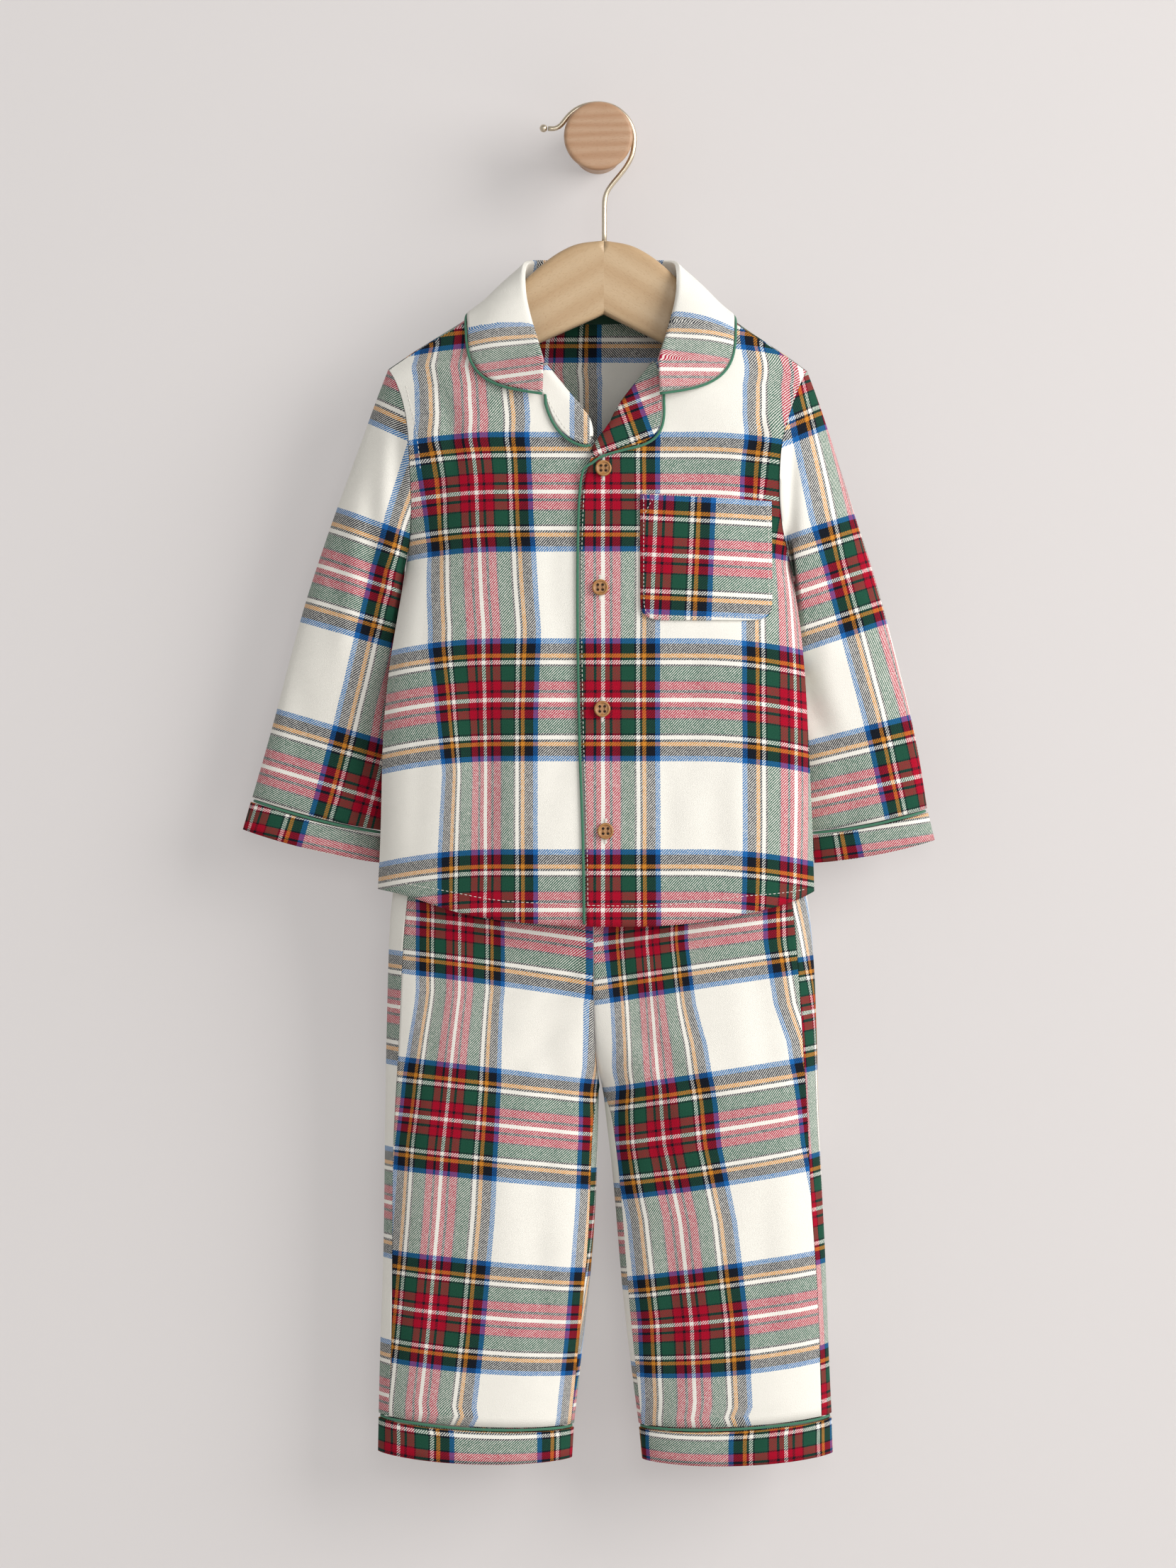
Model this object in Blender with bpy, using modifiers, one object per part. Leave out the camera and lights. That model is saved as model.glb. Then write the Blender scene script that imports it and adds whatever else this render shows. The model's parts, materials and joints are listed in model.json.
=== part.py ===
"""A small child's tartan pyjama set on a wooden hanger, hung from a round wall knob.

Tables and lengths are in millimetres and become metres where a mesh is made. x runs to the
viewer's right, -y to the viewer and z up. The origin is the middle of the knob's flat back,
on the wall, so the wall is the plane y = 0. Left and right are the wearer's, so the wearer's
right is at -x.

Each cloth piece is a grid of points on the garment's outer face, rows running down and columns
running across, backed by a second grid one cloth thickness further in.
"""

import math

import bmesh
import bpy
import numpy as np
from mathutils import Vector
from mathutils.bvhtree import BVHTree

MM = 0.001
GAP = 0.3
CLOTH = 1.2
DOUBLE_CLOTH = 1.6
LAPEL = 1.4
BAND = 1.8
PIPING_RADIUS = 1.0

HANGER_X = 3.4
HANGER_Y = -52.0
HANGER_THICKNESS = 12.0
HANGER_TILT = math.tan(math.radians(1.4))
HANGER_STEPS = (0, 7, 13, 19, 25, 31, 38, 45, 52, 62, 76, 90, 104, 116, 126)
WIRE_RADIUS = 1.75

RIDGE_RISE = 3.8
RIDGE_DROP = 7.0
RIDGE_DEPTH = 8.2
BELLY_START = 22.0
COLLAR_X = 1.6
BUTTON_RADIUS = 5.2
OVERLAP_TUCK = 2.95
ROLL_INSET = 2.4
WAIST_COLUMNS = 40
WAIST_ROOM = 2.0
SIDE_ROOM = 4.0

COLOURS = {
    "cloth": (0.86, 0.84, 0.79, 1.0),
    "band": (0.45, 0.10, 0.12, 1.0),
    "piping": (0.04, 0.15, 0.09, 1.0),
    "tape": (0.03, 0.10, 0.07, 1.0),
    "button": (0.47, 0.24, 0.09, 1.0),
    "beech": (0.68, 0.48, 0.29, 1.0),
    "pine": (0.62, 0.38, 0.22, 1.0),
    "wire": (0.62, 0.56, 0.45, 1.0),
}


def table(columns, rows):
    """Gives a table as a dictionary with one array for each named column."""
    return dict(zip(columns, np.array(rows, dtype=float).T))


# The hanger's upper edge, by distance from its middle.
HANGER_TOP = table(
    ("across", "z"),
    (
        (0, -64.1), (15, -65.9), (25, -70.2), (35, -76.8), (44, -85.0), (50, -90.6), (60, -98.4),
        (72, -107.6), (83, -116.0), (95, -124.0), (105, -130.6), (115, -137.0), (126, -145.0),
        (136, -152.0),
    ),
)
HANGER_UNDER = table(
    ("across", "z"),
    (
        (127.2, -149.8), (124.0, -154.4), (118.0, -156.0), (105.0, -153.6), (83.0, -146.4),
        (60.0, -137.6), (38.0, -128.0), (0.0, -109.8),
    ),
)

# The shirt's body, a section at each height: the two side lines, how far forward the sides
# lie, and how far the front and the back stand away from them.
BODY = table(
    ("z", "right", "left", "side_y", "front", "back"),
    (
        (-60, -134, 134, -52, 6, 14),
        (-88, -134, 134, -52, 7, 16),
        (-103, -134, 134, -52, 9, 19),
        (-120, -134, 134, -52, 13, 22),
        (-150, -134, 134, -52, 21, 25),
        (-190, -131, 131, -52, 29, 29),
        (-230, -124, 125, -53, 33, 33),
        (-265, -119, 119.5, -57, 32, 39),
        (-275, -120.5, 120.6, -60, 30, 43),
        (-300, -124.5, 124.5, -66, 27, 50),
        (-340, -130.5, 128, -72, 23.5, 58),
        (-382, -133.3, 129.8, -74, 22.5, 61),
        (-425, -134.0, 132, -71, 26, 60),
        (-466, -136.2, 133.4, -66, 32, 57),
        (-490, -137, 134, -64, 34, 56),
    ),
)

# The armhole, by distance below the shoulder point: how far in from it the edge runs.
ARMHOLE = table(
    ("down", "right_front", "left_front", "back"),
    (
        (0, 0, 0, 0),
        (6, 3.8, 3.4, 2.5),
        (14, 7.0, 6.5, 5.0),
        (26, 10.6, 10.8, 8.0),
        (44, 12.8, 16.0, 9.5),
        (62, 13.4, 17.6, 10.5),
        (84, 14.5, 17.6, 11.0),
        (102, 13.8, 14.5, 11.0),
        (114, 12.3, 11.5, 11.0),
        (121, 10.9, 9.6, 10.5),
    ),
)
SHOULDER = {"right": -129.8, "left": 129.0}
NECK_SIDE = {"right": -48.6, "left": 51.8}
UNDERARM_DOWN = 121.0

# The lower edge of the shirt, a shallow tail that is deepest at the centre.
HEM = table(
    ("x", "z"),
    (
        (-137, -465.9), (-118, -469.5), (-97, -477), (-79, -482), (-60, -485), (-34, -487),
        (-8, -488.3), (18, -488.6), (40, -488), (63, -486), (90, -481), (117, -474.5),
        (134, -467.4),
    ),
)

# Each front's inner edge: the neckline under the collar, the lapel's roll line, then the
# edge that the buttons close.
RIGHT_EDGE = table(
    ("x", "z"),
    (
        (-49.0, -101), (-47.0, -112), (-43.5, -124), (-39.0, -134), (-34.0, -141.0), (-30.2, -146.7),
        (-17.6, -162.2), (-12.2, -168.1), (-6.6, -176.5), (-6.2, -184.5), (-5.5, -189.5), (3.0, -198.5),
        (12.0, -205), (17.0, -214), (18.0, -230), (18.0, -340), (18.0, -488.6),
    ),
)
LEFT_EDGE = table(
    ("x", "z"),
    (
        (52.0, -103), (49.8, -114), (46.0, -124), (41.5, -131), (36.7, -137.5), (33.0, -142.5),
        (22.2, -156.4), (13.4, -168), (8.0, -178.5), (3.3, -185.5), (-1.0, -191.3), (-3.9, -198),
        (-6.8, -207.6), (-9.3, -216), (-10.8, -240), (-11.2, -285), (-10.8, -335), (-9.7, -385),
        (-7.7, -435), (-7.1, -488.2),
    ),
)
EDGES = {"right": RIGHT_EDGE, "left": LEFT_EDGE}
COLLAR_END = -140.0
PIPING_TOP = -163.2
FRONT_PIPING_Z = (
    -206.8, -209, -211.5, -215, -220, -232, -255, -285, -320, -355, -390, -425, -458, -487,
)
BACK_NECK = table(
    ("across", "z"),
    ((0, -103.6), (22, -102.8), (36, -99.8), (44, -95.0), (48.4, -90.0)),
)

# Folds that the hang of the cloth puts in the shirt. Depth is inwards; a ridge has a minus.
FOLD_COLUMNS = ("top_x", "top_z", "low_x", "low_z", "width", "depth")
FRONT_FOLDS = table(
    FOLD_COLUMNS,
    (
        (-92, -150, -101, -300, 8, 2.6),
        (-104, -200, -112, -330, 7, -1.6),
        (94, -150, 103, -300, 8, 2.8),
        (-68, -300, -82, -500, 12, 2.6),
        (-36, -330, -40, -500, 11, -1.8),
        (58, -330, 66, -500, 12, 2.4),
        (92, -300, 101, -500, 10, -1.8),
    ),
)
BACK_FOLDS = table(
    FOLD_COLUMNS,
    (
        (-84, -150, -96, -330, 9, 2.8),
        (80, -150, 94, -320, 9, 2.4),
        (-48, -280, -60, -500, 12, 2.8),
        (-4, -200, 2, -500, 14, 2.2),
        (44, -300, 56, -500, 12, 2.6),
    ),
)

# The collar, from its right-hand notch to the middle of the back: the crease at its top and
# its outer edge. The other half is the same.
COLLAR = table(
    ("foot", "fold_x", "fold_y", "fold_z", "edge_x", "edge_y", "edge_z"),
    (
        (0.000, -33.9, -83.4, -142.2, -34.4, -86, -160.2),
        (0.050, -35.6, -80.0, -135.0, -49.4, -84, -157.9),
        (0.105, -38.0, -75.5, -127.0, -63.6, -80, -154.0),
        (0.165, -40.5, -71.5, -119.0, -73.4, -76, -147.6),
        (0.225, -43.0, -70.0, -110.0, -78.8, -72, -137.4),
        (0.295, -45.4, -67.5, -98.6, -80.2, -69, -126.8),
        (0.375, -46.0, -63.5, -86.6, -79.9, -62, -118.0),
        (0.460, -45.0, -54.5, -79.4, -77.4, -52, -111.0),
        (0.560, -42.0, -43.5, -76.2, -71.5, -41, -109.6),
        (0.700, -34.0, -33.0, -74.8, -56.4, -31, -113.9),
        (0.850, -18.0, -26.0, -74.6, -28.8, -24, -118.2),
        (1.000, 1.6, -23.6, -75.0, 1.6, -22, -119.2),
    ),
)
COLLAR_STEPS = (0, 0.7, 1.5, 2.3, 3.2, 4.1, 4.9, 5.6, 6.1, 6.5, 6.85, 7.2, 7.6, 8.1, 8.9, 9.9, 11)

# The turned-back lapels: points down the roll line and the outer edge across from each.
LAPEL_COLUMNS = ("roll_x", "roll_z", "edge_x", "edge_z")
RIGHT_LAPEL = table(
    LAPEL_COLUMNS,
    (
        (-32.8, -143.2, -38.0, -157.6),
        (-30.8, -145.8, -32.6, -162.8),
        (-27.6, -149.9, -29.9, -171.0),
        (-22.4, -156.1, -26.4, -178.9),
        (-16.4, -163.6, -21.2, -185.4),
        (-10.6, -170.2, -14.6, -190.2),
        (-6.2, -176.2, -9.8, -191.9),
        (-4.4, -183.5, -7.2, -192.4),
        (-4.4, -187.5, -5.6, -191.6),
    ),
)
LEFT_LAPEL = table(
    LAPEL_COLUMNS,
    (
        (34.4, -141.4, 42.0, -156.0),
        (32.4, -144.0, 38.4, -161.4),
        (29.4, -147.6, 39.1, -168.8),
        (24.8, -153.4, 38.6, -177.6),
        (18.6, -161.2, 35.4, -185.8),
        (13.0, -168.8, 28.8, -190.9),
        (8.4, -178.0, 17.8, -194.0),
        (3.4, -185.6, 8.0, -196.6),
        (-1.0, -191.4, -1.0, -199.8),
        (-3.8, -197.2, -5.2, -203.6),
    ),
)
LAPEL_TURN_UNDER = 8.0

# The sleeves, rings from the armhole to the seam at the cuff and on down the cuff band. The
# outer and inner points are the ends of each ring as it hangs; own is how far the ring has
# left the armhole's shape behind.
SLEEVE_COLUMNS = (
    "right_out_x", "right_out_z", "left_out_x", "left_out_z", "right_in_x", "left_in_x", "in_z",
    "y", "half", "own",
)
SLEEVE = table(
    SLEEVE_COLUMNS,
    (
        (-138.0, -163.0, 137.4, -165.0, -120.4, 121.4, -277, -49.5, 20.0, 0.35),
        (-149.5, -195.5, 148.6, -200.0, -117.4, 118.0, -290, -50.0, 19.0, 0.75),
        (-161.5, -227.0, 159.2, -233.5, -116.6, 117.2, -306, -47.5, 18.0, 1.0),
        (-172.9, -259.5, 169.6, -264.5, -116.6, 117.0, -326, -45.5, 17.0, 1.0),
        (-184.0, -293.0, 179.0, -297.0, -117.8, 117.7, -349, -44.0, 16.0, 1.0),
        (-194.6, -334.0, 188.8, -335.0, -121.5, 120.5, -377, -43.0, 15.0, 1.0),
        (-205.6, -376.0, 198.6, -375.0, -127.0, 125.5, -406, -43.0, 14.0, 1.0),
        (-215.5, -409.6, 204.7, -416.2, -132.7, 131.7, -430.3, -43.5, 13.0, 1.0),
    ),
)
SLEEVE_BAND = table(
    SLEEVE_COLUMNS,
    (
        (-216.4, -412.3, 205.3, -418.9, -133.0, 132.0, -433.1, -43.6, 13.2, 1.0),
        (-221.3, -429.4, 209.4, -436.0, -134.6, 133.9, -450.3, -44.0, 13.4, 1.0),
    ),
)
RING_BOW = 2.2

# Each trouser leg, a ring at each height of its outer seam: the widest point, the side seam
# on the front, the inside-leg seam or centre seam, the innermost point, how far the ring's
# middle, front and back lie, how open the ring is towards the other leg, and how far its
# weft sags at the middle and at the inner end.
LEG_COLUMNS = (
    "z", "out", "side", "inseam", "inner", "y", "front", "back", "open", "sag_mid", "sag_in",
)
RIGHT_LEG = table(
    LEG_COLUMNS,
    (
        (-387, -107.0, -96.0, -3.0, -3.0, -60, 24, 46.0, 1.0, 0, 0),
        (-430, -120.0, -110.0, -3.0, -3.0, -63, 21, 48.0, 1.0, 2, 5),
        (-470, -129.4, -118.3, -3.0, -3.0, -61, 22, 45.0, 1.0, 4, 11),
        (-510, -130.8, -121.3, -3.0, -3.0, -57, 23, 41.0, 0.92, 5, 14),
        (-545, -131.9, -122.7, -2.2, -2.2, -53, 25, 38.0, 0.74, 5.5, 14.5),
        (-564, -132.4, -123.6, -0.6, -0.6, -51, 26, 36.0, 0.4, 6, 14.5),
        (-575, -132.7, -124.2, 1.0, 1.0, -50, 26, 35.0, 0.0, 6, 14.5),
        (-592, -133.0, -125.3, -2.8, 1.0, -49.5, 26, 34.0, 0.0, 6, 14.5),
        (-620, -133.5, -127.0, -4.6, 0.4, -49, 25, 33.0, 0.0, 6.5, 14),
        (-660, -133.9, -127.6, -5.4, -1.2, -49, 24, 31.0, 0.0, 6.5, 12.5),
        (-700, -134.4, -127.7, -8.4, -4.4, -48.5, 23, 29.0, 0.0, 6.5, 12),
        (-745, -136.4, -127.9, -12.9, -9.4, -48, 22, 26.0, 0.0, 7, 10.5),
        (-791.4, -137.3, -130.2, -16.8, -14.2, -48, 21, 23.0, 0.0, 6.5, 6.5),
    ),
)
RIGHT_LEG_BAND = table(
    LEG_COLUMNS,
    (
        (-794.6, -137.4, -130.3, -16.9, -14.4, -48, 21.2, 23.2, 0.0, 6.5, 6.3),
        (-815.0, -137.8, -131.0, -17.8, -15.4, -48, 21.4, 23.0, 0.0, 6.3, 4.0),
    ),
)
LEFT_LEG = table(
    LEG_COLUMNS,
    (
        (-387, 107.0, 96.0, -3.0, -3.0, -60, 24, 46.0, 1.0, 0, 0),
        (-430, 121.0, 110.5, -3.0, -3.0, -63, 21, 48.0, 1.0, 2, 5),
        (-470, 130.6, 119.6, -3.0, -3.0, -61, 22, 45.0, 1.0, 4, 11),
        (-510, 134.6, 123.0, -3.0, -3.0, -57, 23, 41.0, 0.92, 5, 14),
        (-545, 136.0, 125.5, -2.2, -2.2, -53, 25, 38.0, 0.74, 5.5, 14.5),
        (-564, 136.6, 126.6, -0.4, -0.4, -51, 26, 36.0, 0.4, 6, 14.5),
        (-575, 136.9, 127.4, 2.2, 2.2, -50, 26, 35.0, 0.0, 6, 14.5),
        (-592, 137.4, 128.6, 8.2, 3.6, -49.5, 26, 34.0, 0.0, 6, 14.5),
        (-620, 138.2, 130.0, 12.0, 7.2, -49, 25, 33.0, 0.0, 6.5, 14),
        (-660, 140.3, 131.6, 15.4, 10.6, -49, 24, 31.0, 0.0, 6.5, 12.5),
        (-700, 142.3, 135.0, 18.0, 13.6, -48.5, 23, 29.0, 0.0, 6.5, 12),
        (-745, 143.6, 137.1, 22.4, 18.6, -48, 22, 26.0, 0.0, 7, 10.5),
        (-791.4, 145.8, 138.3, 26.8, 24.2, -48, 21, 23.0, 0.0, 6.5, 6.5),
    ),
)
LEFT_LEG_BAND = table(
    LEG_COLUMNS,
    (
        (-794.6, 145.9, 138.4, 27.0, 24.5, -48, 21.2, 23.2, 0.0, 6.5, 6.3),
        (-816.0, 146.6, 139.0, 28.6, 26.4, -48, 21.4, 23.0, 0.0, 6.3, 4.0),
    ),
)
LEG_FRONT_COLUMNS, LEG_BACK_COLUMNS = 10, 14
WAIST_TOP = -360.0
LEG_POWER = 2.4

# The button's section, as a share of its radius and a height above the cloth.
BUTTON_PROFILE = ((0, 1.9), (0.6, 1.9), (0.76, 2.6), (0.94, 2.5), (1, 1.2), (0.8, 0), (0, 0))
BUTTONS = table(("x", "z"), ((3.1, -207.6), (1.1, -281.0), (2.3, -355.4), (4.3, -430.0)))
POCKET_LEFT, POCKET_RIGHT = 25.5, 106.5
POCKET_TOP_LEFT, POCKET_TOP_RIGHT = -223.0, -227.0
POCKET_BOTTOM, POCKET_CORNER = -301.0, 9.0
TAPE_HALF, TAPE_TOP, TAPE_BOTTOM = 38.0, -105.2, -113.0

# The hook's wire from its ball, over the knob and down into the hanger, as x and z.
HOOK_ROUTE = (
    (-31.2, 5.7), (-26.8, 5.3), (-23.4, 7.4), (-19.6, 12.4), (-14.4, 17.2), (-7.6, 20.2),
    (0.0, 21.2), (7.8, 19.8), (15.0, 15.4), (20.2, 8.4), (22.4, 0.0), (21.6, -8.6),
    (18.4, -16.4), (13.4, -23.2), (8.2, -29.4), (4.9, -34.6), (3.76, -40.0), (3.76, -50.0),
    (3.76, -72.5),
)
HOOK_BALL_RADIUS = 2.5
BORE_DEPTH = 10.0

# The knob's outline, as radius and y, from the wall to the middle of its face.
KNOB_PROFILE = (
    (0.0, 0.0), (16.0, 0.0), (15.6, -4.0), (15.4, -14.0), (15.8, -28.0), (17.2, -42.0),
    (19.1, -51.5), (19.3, -53.5), (20.6, -55.6), (21.6, -57.4), (21.6, -59.6), (20.9, -61.4),
    (19.2, -62.0), (0.0, -62.0),
)


def smooth(knots, values, at):
    """Reads a smooth curve that passes through the given values and never overshoots them."""
    order = np.argsort(knots)
    x, y = np.asarray(knots)[order], np.asarray(values)[order]
    width = np.diff(x)
    slope = np.diff(y) / width
    lead = np.empty_like(y)
    lead[0], lead[-1] = slope[0], slope[-1]
    same = slope[:-1] * slope[1:] > 0
    total = np.where(same, slope[:-1] + slope[1:], 1.0)
    lead[1:-1] = np.where(same, 2 * slope[:-1] * slope[1:] / total, 0.0)
    at = np.clip(at, x[0], x[-1])
    i = np.clip(np.searchsorted(x, at, side="right") - 1, 0, len(x) - 2)
    t = (at - x[i]) / width[i]
    start = (1 + 2 * t) * (1 - t) ** 2 * y[i] + t * (1 - t) ** 2 * width[i] * lead[i]
    return start + t * t * (3 - 2 * t) * y[i + 1] + t * t * (t - 1) * width[i] * lead[i + 1]


def read(source, key, at, column):
    """Reads one column of a table at a value of its key column."""
    return smooth(source[key], source[column], at)


def ease(low, high, at):
    """Goes smoothly from 0 at low to 1 at high."""
    t = np.clip((at - low) / (high - low), 0.0, 1.0)
    return t * t * (3 - 2 * t)


def unit(vectors):
    """Scales each vector of an array to length 1."""
    return vectors / np.maximum(np.linalg.norm(vectors, axis=-1, keepdims=True), 1e-9)


# The shirt's surface


def hanger_top(x):
    """The height of the hanger's upper edge, which leans down to the wearer's left."""
    return read(HANGER_TOP, "across", np.abs(x - HANGER_X), "z") - (x - HANGER_X) * HANGER_TILT


def ridge(x):
    """The height of the cloth where it passes over the hanger."""
    return hanger_top(x) + RIDGE_RISE


def hem(x):
    return read(HEM, "x", x, "z")


def folds(source, x, z):
    """How far the listed folds push the cloth inwards."""
    total = np.zeros(np.broadcast(x, z).shape)
    for top_x, top_z, low_x, low_z, width, depth in zip(*(source[name] for name in FOLD_COLUMNS)):
        along = (z - top_z) / (low_z - top_z)
        middle = top_x + (low_x - top_x) * along
        reach = ease(0.0, 0.35, along) * (1 - ease(0.8, 1.05, along))
        total += depth * reach * np.exp(-(((x - middle) / width) ** 2))
    return total


def depth(x, z, column, fold_table):
    """How far the front or the back stands away from the line of the sides."""
    right, left = read(BODY, "z", z, "right"), read(BODY, "z", z, "left")
    middle, half = (right + left) / 2, (left - right) / 2
    reach = np.clip(np.abs(x - middle) / half, 0, 1)
    power = 2.4 if column == "front" else 2.8
    roundness = np.sqrt(1 - reach**power)
    drop = np.maximum(ridge(x) - z, 0)
    over = np.sqrt(1 - (1 - np.minimum(drop / RIDGE_DROP, 1)) ** 2) * (1 - ease(50, 118, drop))
    belly = read(BODY, "z", z, column) * roundness * (1 - np.exp(-drop / BELLY_START))
    return RIDGE_DEPTH * over + belly - folds(fold_table, x, z) * roundness


def front_y(x, z):
    return read(BODY, "z", z, "side_y") - depth(x, z, "front", FRONT_FOLDS)


def back_y(x, z):
    return read(BODY, "z", z, "side_y") + depth(x, z, "back", BACK_FOLDS)


def seam_drop(x):
    """How far the shoulder seam lies below the ridge, on the front."""
    return 4.6 - 3.0 * ease(48, 128, np.abs(x))


def seam_z(x):
    return ridge(x) - seam_drop(x)


def fall(x, z):
    """How far down the front a point lies: 0 at the shoulder seam and 1 at the hem."""
    return (seam_z(x) - z) / (seam_z(x) - hem(x))


# The grids


ARMHOLE_STEPS = (0.0, 5.0, 11.0, 19.0, 29.0, 41.0, 54.0, 68.0, 83.0, 98.0, 111.0, UNDERARM_DOWN)
BACK_STEPS = (8.0, 16.0, 26.0, 38.0, 52.0, 67.0, 83.0, 98.0, 111.0, UNDERARM_DOWN)
SIDE_STEPS = (0.08, 0.19, 0.32, 0.46, 0.6, 0.74, 0.88, 1.0)
SHOULDER_STEPS = (-1.0, -0.35, 1.2, 4.2)
NECK_STEPS = (0.0, 1.6, 3.6, 6.2)
NECK_COLUMNS = np.array((-49.5, -48.4, -47, -40.5, -26, 0, 26, 40.5, 47, 48.4, 49.5))
NECK_SIDE_FALL = (-1.6, 1.2, 5.0)
ACROSS = np.array((0.0, 0.14, 0.28, 0.42, 0.56, 0.69, 0.81, 0.9, 0.965, 1.0))
ARMHOLE_ROWS = len(ARMHOLE_STEPS)


def side_line(side):
    """The points down a side of the shirt, from the underarm to the hem."""
    top = seam_z(SHOULDER[side]) - UNDERARM_DOWN
    bottom = hem(SHOULDER[side] * 1.05)
    z = top + (bottom - top) * np.array(SIDE_STEPS)
    return np.stack((read(BODY, "z", z, side), read(BODY, "z", z, "side_y"), z), axis=-1)


def front_outer_edge(side):
    """The points down a front's armhole and side."""
    tip = SHOULDER[side]
    inwards = -math.copysign(1, tip)
    down = np.array(ARMHOLE_STEPS)
    x = tip + inwards * read(ARMHOLE, "down", down, side + "_front")
    z = seam_z(tip) - down
    y = front_y(x, z)
    y[-1] = read(BODY, "z", z[-1], "side_y")
    return np.concatenate((np.stack((x, y, z), axis=-1), side_line(side)))


def shoulder_fall(x):
    """How far the back's first rows lie beyond the ridge; on the front's side it is less than 0."""
    steps = np.array(SHOULDER_STEPS)[:, None]
    return np.where(steps < 0, steps * seam_drop(x)[None, :], steps)


def back_outer_edge(side):
    """The points over the shoulder, down the back's armhole and down the side."""
    tip = SHOULDER[side]
    inwards = -math.copysign(1, tip)
    below = shoulder_fall(np.array((tip,)))[:, 0]
    x = np.full(len(below), tip)
    z = ridge(x) - np.abs(below)
    y = np.where(below < 0, front_y(x, z), back_y(x, z))
    first = np.stack((x, y, z), axis=-1)
    down = np.array(BACK_STEPS)
    blend = ease(95, UNDERARM_DOWN, down)
    inset = read(ARMHOLE, "down", down, "back") * (1 - blend)
    inset = inset + read(ARMHOLE, "down", down, side + "_front") * blend
    x, z = tip + inwards * inset, seam_z(tip) - down
    y = back_y(x, z)
    y[-1] = read(BODY, "z", z[-1], "side_y")
    return np.concatenate((first, np.stack((x, y, z), axis=-1), side_line(side)))


def inner_edge(side, z):
    """The x of a front's inner edge at a height, from the shoulder seam down."""
    edge = EDGES[side]
    knots_x = np.concatenate(((NECK_SIDE[side],), edge["x"]))
    knots_z = np.concatenate(((float(seam_z(NECK_SIDE[side])),), edge["z"]))
    under_lapel = ease(135, 141, -z) * (1 - ease(190, 198, -z))
    return smooth(knots_z, knots_x, z) + math.copysign(ROLL_INSET, NECK_SIDE[side]) * under_lapel


def front_grid(side):
    """A front: from the neckline, roll line and front edge out to the armhole and side."""
    outer = front_outer_edge(side)
    fine_z = np.linspace(float(seam_z(NECK_SIDE[side])), EDGES[side]["z"][-1], 400)
    fine_x = inner_edge(side, fine_z)
    level = fall(outer[:, 0], outer[:, 2])
    level[0], level[-1] = 0.0, 1.0
    inner_x = np.interp(level, fall(fine_x, fine_z), fine_x)
    inner_x[0] = NECK_SIDE[side]
    x = inner_x[:, None] + (outer[:, 0] - inner_x)[:, None] * ACROSS[None, :]
    z = seam_z(x) + level[:, None] * (hem(x) - seam_z(x))
    grid = np.stack((x, front_y(x, z), z), axis=-1)
    grid[:, -1] = outer
    return grid


def back_grid():
    """The back: from armhole to armhole, over both shoulders and round the back neck."""
    edges = {side: back_outer_edge(side) for side in SHOULDER}
    start = len(SHOULDER_STEPS) - 1
    level = {}
    for side, points in edges.items():
        x, z = points[:, 0], points[:, 2]
        below = (ridge(x) - z)[start:]
        level[side] = (below - below[0]) / ((ridge(x) - hem(x))[start:] - below[0])
        level[side][-1] = 1.0
    shoulder_x = {
        side: NECK_SIDE[side] + (SHOULDER[side] - NECK_SIDE[side]) * ACROSS for side in SHOULDER
    }
    neck_x = COLLAR_X + NECK_COLUMNS
    neck_fall = ridge(neck_x) - read(BACK_NECK, "across", np.abs(NECK_COLUMNS), "z")
    neck_fall[:3], neck_fall[-3:] = NECK_SIDE_FALL, NECK_SIDE_FALL[::-1]
    top_x = np.concatenate((shoulder_x["right"][::-1], neck_x, shoulder_x["left"]))
    neck = (np.abs(top_x - COLLAR_X) <= NECK_COLUMNS[-1])[None, :]
    share = ((top_x - top_x[0]) / (top_x[-1] - top_x[0]))[None, :]
    x = edges["right"][:, :1] * (1 - share) + edges["left"][:, :1] * share
    first = shoulder_fall(top_x)
    first[:, neck[0]] = neck_fall + np.array(NECK_STEPS)[:, None]
    depth_share = level["right"][:, None] * (1 - share) + level["left"][:, None] * share
    whole = (ridge(x) - hem(x))[start:]
    below = np.concatenate((first, (first[-1] + depth_share * (whole - first[-1]))[1:]))
    z = ridge(x) - np.abs(below)
    grid = np.stack((x, np.where(below < 0, front_y(x, z), back_y(x, z)), z), axis=-1)
    grid[:, 0], grid[:, -1] = edges["right"], edges["left"]
    return grid


def normals(grid, closed=False):
    """Unit normals of a grid, one for each point; closed grids join their last column to the first."""
    if closed:
        across = np.roll(grid, -1, axis=1) - np.roll(grid, 1, axis=1)
    else:
        across = np.gradient(grid, axis=1)
    return unit(np.cross(np.gradient(grid, axis=0), across))


def facing_out(vectors, grid, centre):
    """Turns a grid's normals, all together, so that they point away from a centre line."""
    away = grid - centre
    return vectors * np.sign(np.sum(vectors * away))


def loop_inward(loop):
    """Unit vectors in the y-z plane that point into a closed loop of points."""
    ahead = np.roll(loop, -1, axis=0) - np.roll(loop, 1, axis=0)
    across = np.stack((np.zeros(len(loop)), -ahead[:, 2], ahead[:, 1]), axis=-1)
    across = unit(across)
    turned = np.sign(np.sum(across * (loop.mean(axis=0) - loop)))
    return across * turned


# Meshes


def material(name, colour, roughness=0.9, metallic=0.0):
    made = bpy.data.materials.new(name)
    made.use_nodes = True
    shader = made.node_tree.nodes["Principled BSDF"]
    shader.inputs["Base Color"].default_value = COLOURS[colour]
    shader.inputs["Roughness"].default_value = roughness
    shader.inputs["Metallic"].default_value = metallic
    return made


def new_object(name, mesh, parts, surface):
    made = bpy.data.objects.new(name, mesh)
    made.data.materials.append(surface)
    parts.objects.link(made)
    return made


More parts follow.
